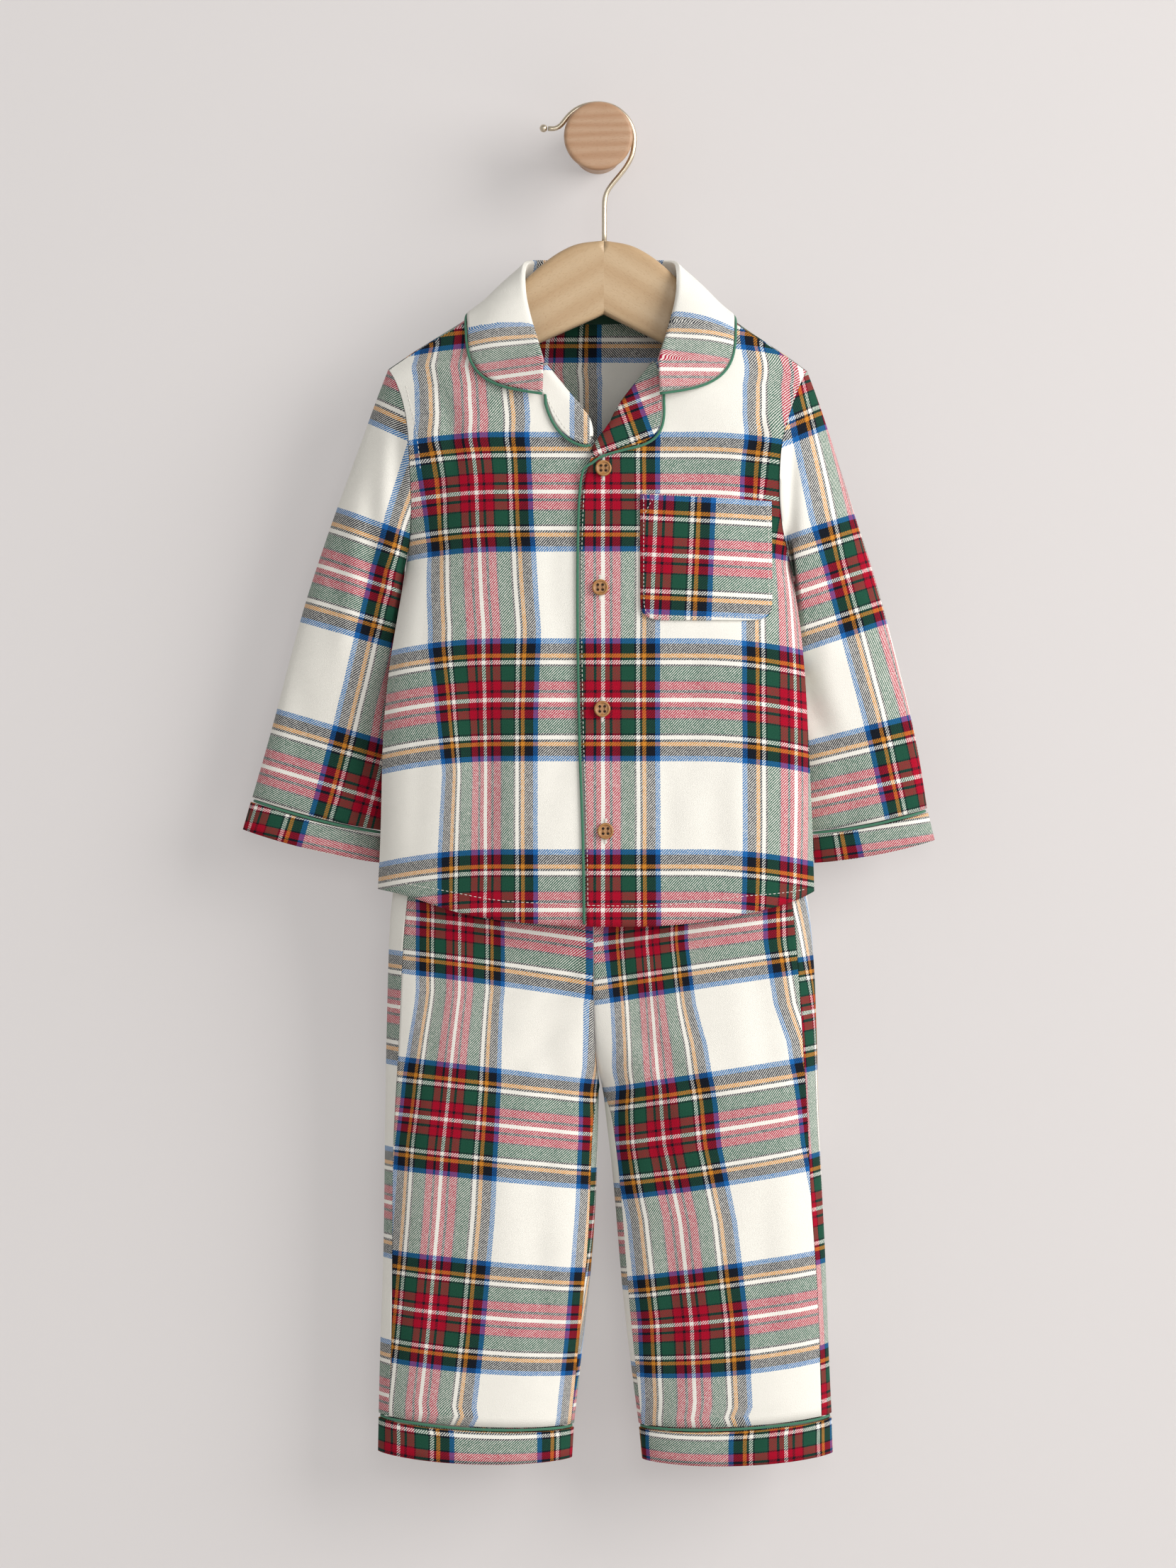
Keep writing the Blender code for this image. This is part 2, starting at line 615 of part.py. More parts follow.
def wall(name, outer, inner, parts, colour="cloth", closed=False):
    """Makes a solid cloth piece from the grids of its outer and inner faces."""
    rows, columns = outer.shape[:2]
    count = rows * columns
    points = np.concatenate((outer.reshape(-1, 3), inner.reshape(-1, 3))) * MM
    spans = columns if closed else columns - 1
    faces = []
    for row in range(rows - 1):
        for column in range(spans):
            a = row * columns + column
            b = row * columns + (column + 1) % columns
            c, d = b + columns, a + columns
            faces.append((a, b, c, d))
            faces.append((a + count, d + count, c + count, b + count))
    for column in range(spans):
        for row, flip in ((0, True), (rows - 1, False)):
            a = row * columns + column
            b = row * columns + (column + 1) % columns
            rim = (a, b, b + count, a + count)
            faces.append(rim[::-1] if flip else rim)
    if not closed:
        for row in range(rows - 1):
            for column, flip in ((0, False), (columns - 1, True)):
                a = row * columns + column
                b = a + columns
                rim = (a, b, b + count, a + count)
                faces.append(rim[::-1] if flip else rim)
    mesh = bpy.data.meshes.new(name)
    mesh.from_pydata(points.tolist(), [], faces)
    solid = bmesh.new()
    solid.from_mesh(mesh)
    bmesh.ops.triangulate(solid, faces=solid.faces)
    bmesh.ops.recalc_face_normals(solid, faces=solid.faces)
    solid.to_mesh(mesh)
    solid.free()
    mesh.shade_smooth()
    mesh.set_sharp_from_angle(angle=math.radians(50))
    return new_object(name, mesh, parts, material(name + "_cloth", colour))


def ease_apart(grid, edge, distance=GAP / 2):
    """Draws one edge of a grid back from its seam, along the cloth."""
    row = slice(None)
    near, far = {"left": ((row, 0), (row, 1)), "right": ((row, -1), (row, -2)),
                 "top": ((0, row), (1, row)), "bottom": ((-1, row), (-2, row))}[edge]
    step = unit(grid[far] - grid[near]) * distance
    return near, step


def tube(name, route, radius, parts, surface, sides=1, closed=False):
    """Makes a round cord or wire along a route; sides is the curve's bevel resolution."""
    curve = bpy.data.curves.new(name, "CURVE")
    curve.dimensions = "3D"
    curve.bevel_depth = radius * MM
    curve.bevel_resolution = sides
    curve.use_fill_caps = not closed
    spline = curve.splines.new("POLY")
    spline.points.add(len(route) - 1)
    for point, place in zip(spline.points, route):
        point.co = (*(Vector(place) * MM), 1.0)
    spline.use_cyclic_u = closed
    return new_object(name, curve, parts, surface)


def even_route(route, count, closed=False):
    """Spreads points evenly along a smooth curve through a route's own points."""
    route = np.array(route, dtype=float)
    if closed:
        route = np.concatenate((route, route[:1]))
    length = np.concatenate(((0,), np.cumsum(np.linalg.norm(np.diff(route, axis=0), axis=1))))
    at = np.linspace(0, length[-1], count + 1 if closed else count)
    points = np.stack([smooth(length, route[:, axis], at) for axis in range(3)], axis=-1)
    return points[:-1] if closed else points


def tree_of(faces):
    """A search tree over some grids, each given with the directions that it faces."""
    points, corners = [], []
    for grid, out in faces:
        rows, columns = grid.shape[:2]
        base = len(points)
        points += [Vector(point) for point in grid.reshape(-1, 3)]
        down, across = grid[1:, :-1] - grid[:-1, :-1], grid[:-1, 1:] - grid[:-1, :-1]
        forwards = np.sum(np.cross(down, across) * out[:-1, :-1]) > 0
        for row in range(rows - 1):
            for column in range(columns - 1):
                a = base + row * columns + column
                quad = (a, a + columns, a + columns + 1, a + 1)
                corners.append(quad if forwards else quad[::-1])
    return BVHTree.FromPolygons(points, corners)


def rest_on(grid, tree, lift):
    """Moves points out until each is at least a lift above the cloth that it lies over."""
    moved = grid.reshape(-1, 3).copy()
    lifts = np.broadcast_to(lift, grid.shape[:-1]).ravel()
    for index, point in enumerate(moved):
        place, normal, _, distance = tree.find_nearest(Vector(point))
        height = (Vector(point) - place).dot(normal)
        aside = math.sqrt(max(distance**2 - height**2, 0.0))
        if height < lifts[index] and aside < 2.0:
            moved[index] = point + np.array(normal) * (lifts[index] - height)
    return moved.reshape(grid.shape)


# The pieces


def shirt_body(parts):
    """The two fronts and the back. Gives their outer grids, inner grids and facings."""
    grids = {"front_right": front_grid("right"), "front_left": front_grid("left"), "back": back_grid()}
    under = grids["front_right"]
    x, z = under[..., 0], under[..., 2]
    under[..., 1] += OVERLAP_TUCK * ease(-27, -17, x) * ease(168, 188, -z)
    out = {}
    for name, grid in grids.items():
        centre = grid.copy()
        centre[..., 1] = read(BODY, "z", grid[..., 2], "side_y")
        centre[..., 2] -= 12
        out[name] = facing_out(normals(grid), grid, centre)
    inward = {side: loop_inward(armhole_loop(grids, side)) for side in SHOULDER}
    for side in SHOULDER:
        turn_side_rims(out, inward[side], side)
        turn_shoulder_rims(out, side)
    inner = {}
    for name, grid in grids.items():
        outer = apart_at_seams(name, grid)
        inner[name] = outer - out[name] * CLOTH
        wall(name, outer, inner[name], parts)
    return grids, inner, out, inward


def turn_side_rims(out, rims, side):
    """Gives a front and the back the same facing along their armhole and side seam."""
    front, back = out["front_" + side], out["back"]
    column = 0 if side == "right" else -1
    last = len(BACK_STEPS) + 3
    front[:ARMHOLE_ROWS, -1] = -rims[:ARMHOLE_ROWS]
    back[0, column] = -rims[0]
    back[1:last, column] = -rims[:ARMHOLE_ROWS - 1:-1]
    back[last, column] = -rims[ARMHOLE_ROWS - 1]
    sideways = (-1.0 if side == "right" else 1.0, 0, 0)
    front[ARMHOLE_ROWS:, -1] = sideways
    back[last + 1:, column] = sideways


def turn_shoulder_rims(out, side):
    """Gives a front and the back the same facing along their shoulder seam."""
    count = len(ACROSS)
    front = out["front_" + side][0, :-1]
    back = out["back"][0, count - 1:0:-1] if side == "right" else out["back"][0, -count:-1]
    seam = unit(front + back)
    front[:], back[:] = seam, seam


def apart_at_seams(name, grid):
    """Draws a piece's edges back from its shoulder and side seams."""
    outer = grid.copy()
    near, step = ease_apart(grid, "top")
    if name == "back":
        step[len(ACROSS):-len(ACROSS)] = 0
    outer[near] += step
    for edge in ("left", "right") if name == "back" else ("right",):
        near, step = ease_apart(grid, edge)
        step[:len(BACK_STEPS) + 4 if name == "back" else ARMHOLE_ROWS] = 0
        outer[near] += step
    return outer


def armhole_loop(grids, side):
    """The closed edge of an armhole: down the front, then up the back and over the shoulder."""
    column = 0 if side == "right" else -1
    front = grids["front_" + side][:ARMHOLE_ROWS, -1]
    back = grids["back"][1:len(BACK_STEPS) + 3, column][::-1]
    return np.concatenate((front, back))


def sleeve_angles(loop):
    """An angle for each point of an armhole: 0 at the top, half a turn at the underarm."""
    steps = np.linalg.norm(np.diff(np.concatenate((loop, loop[:1])), axis=0), axis=1)
    length = np.concatenate(((0,), np.cumsum(steps)))[:-1]
    total = steps.sum()
    top = length[-1] - total
    bottom = length[ARMHOLE_ROWS - 1]
    front = math.pi * (length - top) / (bottom - top)
    back = math.pi + math.pi * (length - bottom) / (total + top - bottom)
    return np.where(length <= bottom, front, back)


def sleeve_ring(loop, angles, source, row, side):
    """One ring of a sleeve, between its outer and inner points, clear of the shirt's back."""
    outer = np.array((source[side + "_out_x"][row], source[side + "_out_z"][row]))
    inner = np.array((source[side + "_in_x"][row], source["in_z"][row]))
    own = source["own"][row]
    top, bottom = loop[-1, [0, 2]], loop[ARMHOLE_ROWS - 1, [0, 2]]
    chord = bottom - top
    offset = loop[:, [0, 2]] - top
    first_share = offset @ chord / (chord @ chord)
    first_side = offset - first_share[:, None] * chord
    share = first_share * (1 - own) + own * (1 - np.cos(angles)) / 2
    flat = outer + share[:, None] * (inner - outer) + first_side * (1 - own)
    flat[:, 1] -= RING_BOW * own * np.sin(angles) ** 2
    bulge = np.sqrt(1 - np.abs(np.cos(angles)) ** 2.4) * source["half"][row]
    deep = np.where(angles > math.pi, bulge, -bulge)
    y = source["y"][row] + (loop[:, 1] - HANGER_Y) * (1 - own) + deep * own
    x, z = flat.T
    right, left = read(BODY, "z", z, "right"), read(BODY, "z", z, "left")
    inside = (x > right) & (x < left) & (z < loop[ARMHOLE_ROWS - 1, 2] + 8)
    front = source["y"][row] - bulge
    clear = np.where(inside, back_y(x, z) + 1.6, -1e3)
    lift = np.maximum(clear - front, 0)
    if own < 0.5:
        beside = np.where(z < loop[ARMHOLE_ROWS - 1, 2] + 14, (right if side == "right" else left), 0)
        x = math.copysign(1, loop[0, 0]) * np.maximum(np.abs(x), np.abs(beside) + 1.3)
    return np.stack((x, y + lift, z), axis=-1)


def sleeve(parts, loop, rims, body, side):
    """A sleeve, its cuff band and the piping between them."""
    sideways = np.array((-GAP if side == "right" else GAP, 0, 0))
    angles = sleeve_angles(loop)
    rings = [loop + sideways]
    rings += [sleeve_ring(loop, angles, SLEEVE, row, side) for row in range(len(SLEEVE["y"]))]
    grid = np.stack(rings)
    grid[1:] = rest_on(grid[1:], body, GAP + 0.7)
    middle = grid.mean(axis=1, keepdims=True)
    out = facing_out(normals(grid, closed=True), grid, middle)
    out[0] = -rims
    wall("sleeve_" + side, grid, grid - out * CLOTH, parts, closed=True)
    rings = [sleeve_ring(loop, angles, SLEEVE_BAND, row, side) for row in range(2)]
    band = np.stack(rings)
    out = facing_out(normals(band, closed=True), band, band.mean(axis=1, keepdims=True))
    wall("sleeve_band_" + side, band, band - out * BAND, parts, "band", closed=True)
    seam = (grid[-1] + band[0]) / 2 - out[0] * 0.4
    route = even_route(seam, 22, closed=True)
    name = "sleeve_piping_" + side
    tube(name, route, PIPING_RADIUS, parts, material(name, "piping", 0.8), closed=True)


def neck_path(grids):
    """The neckline from the right lapel's roll line, round the back, to the left one."""
    sides = {}
    for side, neck_x in NECK_SIDE.items():
        z = np.linspace(COLLAR_END, float(seam_z(neck_x)), 12)
        x = inner_edge(side, z)
        sides[side] = np.stack((x, front_y(x, z), z), axis=-1)
    back = grids["back"][0, len(ACROSS):-len(ACROSS)]
    return np.concatenate((sides["right"], back, sides["left"][::-1]))


def over_ridge(points):
    """Extra height for straight spans of cloth that cross the sharp bend over the hanger."""
    return 1.0 * np.exp(-(((points[..., 1] - HANGER_Y) / 9.0) ** 2))


def collar_stations(path):
    """The collar's foot, crease and outer edge at stations spread round the whole neck."""
    order = np.arange(len(COLLAR["foot"]))
    steps = np.array(COLLAR_STEPS)
    half = np.stack([smooth(order, column, steps) for column in COLLAR.values()], axis=-1)
    mirrored = half[-2::-1].copy()
    mirrored[:, [1, 4]] = 2 * COLLAR_X - mirrored[:, [1, 4]]
    mirrored[:, 0] = 2 - mirrored[:, 0]
    stations = np.concatenate((half, mirrored))
    steps = np.linalg.norm(np.diff(path, axis=0), axis=1)
    length = np.concatenate(((0,), np.cumsum(steps))) * 2 / steps.sum()
    foot = np.stack([np.interp(stations[:, 0], length, axis) for axis in path.T], axis=-1)
    return foot, stations[:, 1:4], stations[:, 4:]


def collar(parts, grids, body, lapels):
    """The collar's folded strip and the piping along its edge."""
    foot, fold, edge = collar_stations(neck_path(grids))
    rise = over_ridge(foot + (0, 4, 0))
    foot = foot + unit(fold - foot) * (1.1 + 0.5 * rise[:, None])
    foot = rest_on(foot, body, 1.7 * rise)
    away = unit(np.cross((0, 0, 1.0), np.gradient(fold, axis=0)))
    away = away * np.sign(np.sum(away * (fold - fold.mean(axis=0)), axis=-1, keepdims=True))
    place = np.linspace(0, 1, len(fold))[:, None]
    inner = ease(0.0, 0.16, place) * ease(0.0, 0.16, 1 - place)
    away = unit(away * inner + np.array((0, -1.0, 0)) * (1 - inner))
    low = fold + away * 2.6 - (0, 0, 1.2)
    leaf = []
    for share in (0.0, 0.22, 0.48, 0.74, 1.0):
        bulge = (1.0 + 2.0 * inner) * math.sin(math.pi * share)
        leaf.append(low + (edge - low) * share + away * bulge)
    leaf = np.stack(leaf)
    lift = GAP + DOUBLE_CLOTH / 2 + 0.45
    leaf = rest_on(leaf, body, lift + over_ridge(leaf) + 0.5 * ease(-42, -34, leaf[..., 1]))
    leaf[1:] = rest_on(leaf[1:], lapels, lift)
    top = fold + away * 1.3 + (0, 0, 0.35)
    strip = np.concatenate((np.stack((foot, (foot + fold) / 2, fold, top)), leaf))
    across = normals(strip)
    wall("collar", strip + across * DOUBLE_CLOTH / 2, strip - across * DOUBLE_CLOTH / 2, parts)
    route = strip[-1] + beyond_edge(strip, across) * (PIPING_RADIUS + GAP + 0.15)
    for beneath in (body, lapels):
        route = rest_on(route, beneath, GAP + PIPING_RADIUS + 0.6 + over_ridge(route))
    surface = material("collar_piping", "piping", 0.8)
    tube("collar_piping", even_route(route, 36), PIPING_RADIUS, parts, surface)


def lapel_grid(source, outside, inside, turn_under):
    """The middle of a lapel's cloth: from behind the front, round its edge and over its face."""
    order = np.arange(len(source["roll_x"]))
    at = np.linspace(0, order[-1], 13)
    roll_x, roll_z, edge_x, edge_z = (smooth(order, source[name], at) for name in LAPEL_COLUMNS)
    inwards = unit(np.stack((np.gradient(roll_z), -np.gradient(roll_x)), axis=-1)).T
    inwards = inwards * np.sign(np.sum(inwards * (edge_x - roll_x, edge_z - roll_z)))
    above = GAP + LAPEL / 2 + 0.05
    end = ease(0.58, 0.76, at / order[-1])
    legs = ((turn_under, -CLOTH - above, -1.4), (1.2, -CLOTH - above, -1.0))
    rows = []
    for reach, lift, end_lift in legs:
        reach, lift = reach + (-0.6 - reach) * end, lift + (end_lift - lift) * end
        x, z = roll_x + inwards[0] * reach, roll_z + inwards[1] * reach
        rows.append(np.stack((x, front_y(x, z) - lift, z), axis=-1))
    for reach, lift in ((-0.6, -CLOTH / 2), (1.2, above)):
        x, z = roll_x + inwards[0] * reach, roll_z + inwards[1] * reach
        rows.append(np.stack((x, front_y(x, z) - lift, z), axis=-1))
    for share in (0.35, 0.55, 0.78, 1.0):
        x, z = roll_x + (edge_x - roll_x) * share, roll_z + (edge_z - roll_z) * share
        rows.append(np.stack((x, front_y(x, z) - above, z), axis=-1))
    grid = np.stack(rows)
    grid[:2] = rest_on(grid[:2], inside, above)
    grid[3:] = rest_on(grid[3:], outside, above)
    return grid


def lapel(parts, name, source, outside, inside, turn_under):
    """A turned-back lapel. Gives the middle of its cloth and its facing."""
    middle = lapel_grid(source, outside, inside, turn_under)
    across = normals(middle)
    across = across * np.sign(-across[-1, 0, 1])
    wall(name, middle + across * LAPEL / 2, middle - across * LAPEL / 2, parts)
    return middle, across


def beyond_edge(grid, out):
    """Unit vectors that lie in the cloth, square to a grid's last row and away from it."""
    aside = unit(np.cross(np.gradient(grid[-1], axis=0), out[-1]))
    return aside * np.sign(np.sum(aside * (grid[-1] - grid[-2])))


def lapel_piping(parts, name, middle, facing, outside, down):
    """The piping along a lapel's edge and then along the points given below it."""
    route = middle[-1] + beyond_edge(middle, facing) * (PIPING_RADIUS + GAP + 0.2)
    route = rest_on(route[route[:, 2] < PIPING_TOP], outside, PIPING_RADIUS + GAP + 0.1)
    route = np.concatenate((even_route(route, 17), down))
    tube(name, route, PIPING_RADIUS, parts, material(name, "piping", 0.8))


def pocket(parts, beneath):
    """The patch pocket on the left front, a step out from the cloth beneath."""
    columns, rows = 8, 9
    level = np.concatenate((np.linspace(0, 0.87, rows - 3), (0.93, 0.975, 1.0)))
    share = np.linspace(0, 1, columns)
    x = POCKET_LEFT + (POCKET_RIGHT - POCKET_LEFT) * share[None, :] + np.zeros((rows, 1))
    top = POCKET_TOP_LEFT + (POCKET_TOP_RIGHT - POCKET_TOP_LEFT) * share[None, :]
    z = top + (POCKET_BOTTOM - top) * level[:, None]
    above = np.maximum(POCKET_CORNER - (z - POCKET_BOTTOM), 0)
    inset = POCKET_CORNER - np.sqrt(np.maximum(POCKET_CORNER**2 - above**2, 0))
    middle = (POCKET_LEFT + POCKET_RIGHT) / 2
    x = middle + (x - middle) * (1 - inset / (POCKET_RIGHT - middle))
    face = np.stack((x, front_y(x, z), z), axis=-1)
    out = normals(face)
    out = out * np.sign(-out[0, 0, 1])
    face = rest_on(face + out * GAP, beneath, GAP + 0.05)
    wall("chest_pocket", face + out * CLOTH, face, parts)


def neck_tape(parts):
    """The tape that covers the seam inside the back neck."""
    x = COLLAR_X + np.linspace(-TAPE_HALF, TAPE_HALF, 11)[None, :] + np.zeros((2, 1))
    drop = read(BACK_NECK, "across", np.abs(x[:1] - COLLAR_X), "z") - BACK_NECK["z"][0]
    z = np.array(((TAPE_TOP,), (TAPE_BOTTOM,))) + drop
    face = np.stack((x, back_y(x, z), z), axis=-1)
    out = normals(face)
    out = out * np.sign(out[0, 0, 1])
    outer = face - out * (CLOTH + GAP + 0.1)
    wall("neck_tape", outer, outer - out * 1.0, parts, "tape")


def button(parts, index, x, z):
    """A turned button with a rim, a dished middle and four holes."""
    solid = bmesh.new()
    points = [
        solid.verts.new((share * BUTTON_RADIUS * MM, 0, height * MM)) for share, height in BUTTON_PROFILE
    ]
    edges = [solid.edges.new(pair) for pair in zip(points, points[1:])]
    bmesh.ops.spin(
        solid, geom=points + edges, cent=(0, 0, 0), axis=(0, 0, 1), angle=math.tau, steps=16,
        use_merge=True,
    )
    bmesh.ops.remove_doubles(solid, verts=solid.verts, dist=0.00001)
    bmesh.ops.recalc_face_normals(solid, faces=solid.faces)
    mesh = bpy.data.meshes.new(f"button_{index}")
    solid.to_mesh(mesh)
    solid.free()
    mesh.shade_smooth()
    mesh.set_sharp_from_angle(angle=math.radians(40))
    made = new_object(f"button_{index}", mesh, parts, material(f"button_{index}", "button", 0.45))
    cut = cutter_of_holes(index)
    y = float(front_y(x, z))
    slope_x = float(front_y(x + 1, z) - front_y(x - 1, z)) / 2
    slope_z = float(front_y(x, z + 1) - front_y(x, z - 1)) / 2
    out = Vector((slope_x, -1, slope_z)).normalized()
    turn = out.to_track_quat("Z", "Y")
    for thing in (made, cut):
        thing.rotation_mode = "QUATERNION"
        thing.rotation_quaternion = turn
        thing.location = (Vector((x, y, z)) + out * (GAP + 0.1)) * MM
    drill = made.modifiers.new("holes", "BOOLEAN")
    drill.operation = "DIFFERENCE"
    drill.object = cut


def cutter_of_holes(index):
    """Four pins that drill a button's holes."""
    solid = bmesh.new()
    for side in range(4):
        pins = bmesh.ops.create_cone(
            solid, cap_ends=True, segments=5, radius1=0.75 * MM, radius2=0.75 * MM, depth=8 * MM
        )
        angle = math.tau * (side + 0.5) / 4
        place = Vector((math.cos(angle), math.sin(angle), 0)) * 1.55 * MM
        bmesh.ops.translate(solid, vec=place, verts=pins["verts"])
    mesh = bpy.data.meshes.new(f"holes_{index}")
    solid.to_mesh(mesh)
    solid.free()
    return new_cutter(f"holes_{index}", mesh)


def new_cutter(name, mesh):
    made = bpy.data.objects.new(name, mesh)
    made.hide_render = True
    made.display_type = "WIRE"
    bpy.data.collections["cutters"].objects.link(made)
    return made


def leg_ring(source, z, angles):
    """Points of a leg's ring. Angle 0 is the innermost point, a quarter turn is the front."""
    row = {name: float(read(source, "z", z, name)) for name in LEG_COLUMNS}
    middle, half = (row["out"] + row["inner"]) / 2, (row["inner"] - row["out"]) / 2
    cos, sin = np.cos(angles), np.sin(angles)
    x = middle + half * np.sign(cos) * np.abs(cos) ** (2 / LEG_POWER)
    swell = np.abs(sin)
    swell = np.where(cos > 0, row["open"] + (1 - row["open"]) * swell, swell)
    front = np.where((sin > 0) | ((np.abs(sin) < 1e-9) & (angles < 1)), -row["front"], row["back"])
    y = row["y"] + front * swell
    share = np.clip((x - row["out"]) / (row["inner"] - row["out"]), 0, 1)
    bend = row["sag_in"] * share**2 + 4 * (row["sag_mid"] - row["sag_in"] / 4) * share * (1 - share)
    return inside_shirt(np.stack((x, y, z - bend), axis=-1))


def inside_shirt(points):
    """Draws points in so that they clear the shirt's cloth, down to a little below its hem."""
    x, y, z = points[:, 0], points[:, 1], points[:, 2]
    level = np.maximum(z, hem(x))
    room = WAIST_ROOM * (1 + 1.3 * ease(80, 130, np.abs(x)))
    right, left = read(BODY, "z", level, "right"), read(BODY, "z", level, "left")
    beside = np.clip(x, right + SIDE_ROOM, left - SIDE_ROOM)
    room = np.clip(y, front_y(beside, level) + room, back_y(beside, level) - room)
    y = y + (room - y) * (1 - ease(495, 535, -z))
    return np.stack((x, y, z), axis=-1)


def leg_limits(source, z):
    """The angles of the side seam and of the inner seam at a height."""
    row = {name: float(read(source, "z", z, name)) for name in LEG_COLUMNS}
    middle, half = (row["out"] + row["inner"]) / 2, (row["inner"] - row["out"]) / 2
    outer_share = min(abs((row["side"] - middle) / half), 1.0)
    inner_share = min(abs((row["inseam"] - middle) / half), 1.0)
    side = math.pi - math.acos(outer_share ** (LEG_POWER / 2))
    return side, math.acos(inner_share ** (LEG_POWER / 2))


def leg_grids(source, heights):
    """The front and back of a leg, between its side seam and its inner seams."""
    front, back = [], []
    for z in heights:
        side, inner = leg_limits(source, z)
        front.append(leg_ring(source, z, np.linspace(side, inner, LEG_FRONT_COLUMNS)))
        around = np.linspace(side, math.tau + inner - 1e-7, LEG_BACK_COLUMNS)
        back.append(leg_ring(source, z, around))
    return np.stack(front), np.stack(back)


def leg_rings(source, heights):
    """Whole rings of a leg, from the inner seam round the front and back."""
    front, back = leg_grids(source, heights)
    return np.concatenate((front[:, ::-1], back[:, 1:-1]), axis=1)


def leg(parts, side, source):
    """One leg of the trousers, cut as a front and a back. Gives the ring round its top."""
    heights = source["z"]
    crotch = int(np.argmax(source["open"] == 0))
    front, back = leg_grids(source, heights)
    whole = np.concatenate((front[:, ::-1], back[:, 1:]), axis=1)
    centre = np.stack([whole.mean(axis=1)] * whole.shape[1], axis=1)
    out = facing_out(normals(whole), whole, centre)
    closed = normals(np.concatenate((whole[:, -2:-1], whole, whole[:, 1:2]), axis=1))[:, 1:-1]
    closed = facing_out(closed, whole, centre)
    out[crotch:] = closed[crotch:]
    seam = unit(out[crotch:, 0] + out[crotch:, -1])
    out[crotch:, 0], out[crotch:, -1] = seam, seam
    loop = np.concatenate((front[:crotch + 1, -1], back[:crotch, -1][::-1]))
    ahead = np.gradient(loop, axis=0)
    across = unit(np.stack((np.zeros(len(loop)), -ahead[:, 2], ahead[:, 1]), axis=-1))
    across = across * np.sign(np.sum(across * (loop - loop.mean(axis=0))))
    out[:crotch + 1, 0] = across[:crotch + 1]
    out[:crotch + 1, -1] = across[crotch:][::-1]
    split = LEG_FRONT_COLUMNS - 1
    pieces = {
        "front_leg_" + side: (front, out[:, split::-1]),
        "back_leg_" + side: (back, out[:, split:]),
    }
    aside = np.array((-GAP / 2 if side == "right" else GAP / 2, 0, 0))
    for name, (grid, away) in pieces.items():
        outer = grid.copy()
        near, step = ease_apart(grid, "left")
        outer[near] += step
        near, step = ease_apart(grid, "right")
        step[:crotch] = aside
        step[crotch] += aside
        outer[near] += step
        wall(name, outer, outer - away * CLOTH, parts)
    return whole[0]


def leg_band(parts, side, source, above):
    """The hem band of a leg and the piping above it."""
    grid = leg_rings(source, source["z"])
    out = facing_out(normals(grid, closed=True), grid, grid.mean(axis=1, keepdims=True))
    wall("leg_band_" + side, grid, grid - out * BAND, parts, "band", closed=True)
    over = leg_rings(above, above["z"][-1:])[0]
    route = even_route((over + grid[0]) / 2 - out[0] * 0.4, 26, closed=True)
    name = "leg_piping_" + side
    tube(name, route, PIPING_RADIUS, parts, material(name, "piping", 0.8), closed=True)


def waistband(parts, right_top, left_top):
    """The elastic waistband, a hand's height under the shirt's hem."""
    loop = np.concatenate((right_top, left_top[-2:0:-1]))
    loop = even_route(loop, WAIST_COLUMNS, closed=True)
    middle = loop.mean(axis=0)
    top = loop.copy()
    top[:, 2] = WAIST_TOP
    bottom = loop.copy()
    bottom[:, 2] = right_top[0, 2] + GAP + 0.1
    grid = np.stack((inside_shirt(top), bottom))
    out = facing_out(normals(grid, closed=True), grid, middle)
    wall("waistband", grid, grid - out * BAND, parts, closed=True)


def hanger_half(parts, side, bore):
    """Half of the hanger's beech body, up to its mitred middle."""
    sign = -1 if side == "right" else 1
    steps = np.array(HANGER_STEPS, dtype=float)
    across = np.concatenate((steps, HANGER_UNDER["across"]))
    across = np.maximum(across, GAP / 2)
    height = np.concatenate((read(HANGER_TOP, "across", steps, "z"), HANGER_UNDER["z"]))
    outline = [(float(x), float(z)) for x, z in zip(across, height)]
    points = [(HANGER_X + sign * across, z - sign * across * HANGER_TILT) for across, z in outline]
    solid = bmesh.new()
    front = [solid.verts.new((x * MM, (HANGER_Y - HANGER_THICKNESS / 2) * MM, z * MM)) for x, z in points]
    face = solid.faces.new(front)
    grown = bmesh.ops.extrude_face_region(solid, geom=[face])
    moved = [item for item in grown["geom"] if isinstance(item, bmesh.types.BMVert)]
    bmesh.ops.translate(solid, vec=(0, HANGER_THICKNESS * MM, 0), verts=moved)
    bmesh.ops.recalc_face_normals(solid, faces=solid.faces)
    limit = HANGER_X * MM + sign * 0.2 * MM
    rounded = [edge for edge in solid.edges if rounds(edge, limit, sign)]
    bmesh.ops.bevel(
        solid, geom=rounded, offset=4.0 * MM, segments=3, profile=0.5, affect="EDGES",
        clamp_overlap=True,
    )
    bmesh.ops.triangulate(solid, faces=solid.faces)
    name = "hanger_" + side
    mesh = bpy.data.meshes.new(name)
    solid.to_mesh(mesh)
    solid.free()
    mesh.shade_smooth()
    mesh.set_sharp_from_angle(angle=math.radians(40))
    made = new_object(name, mesh, parts, material(name, "beech", 0.5))
    drill = made.modifiers.new("bore", "BOOLEAN")
    drill.operation = "DIFFERENCE"
    drill.object = bore


def rounds(edge, limit, sign):
    """Tells whether an edge of the hanger is one of the long edges that are rounded."""
    a, b = (vert.co for vert in edge.verts)
    along = abs(a.y - b.y) < 1e-6
    apart = sign * (a.x - limit) > 0 or sign * (b.x - limit) > 0
    return along and apart


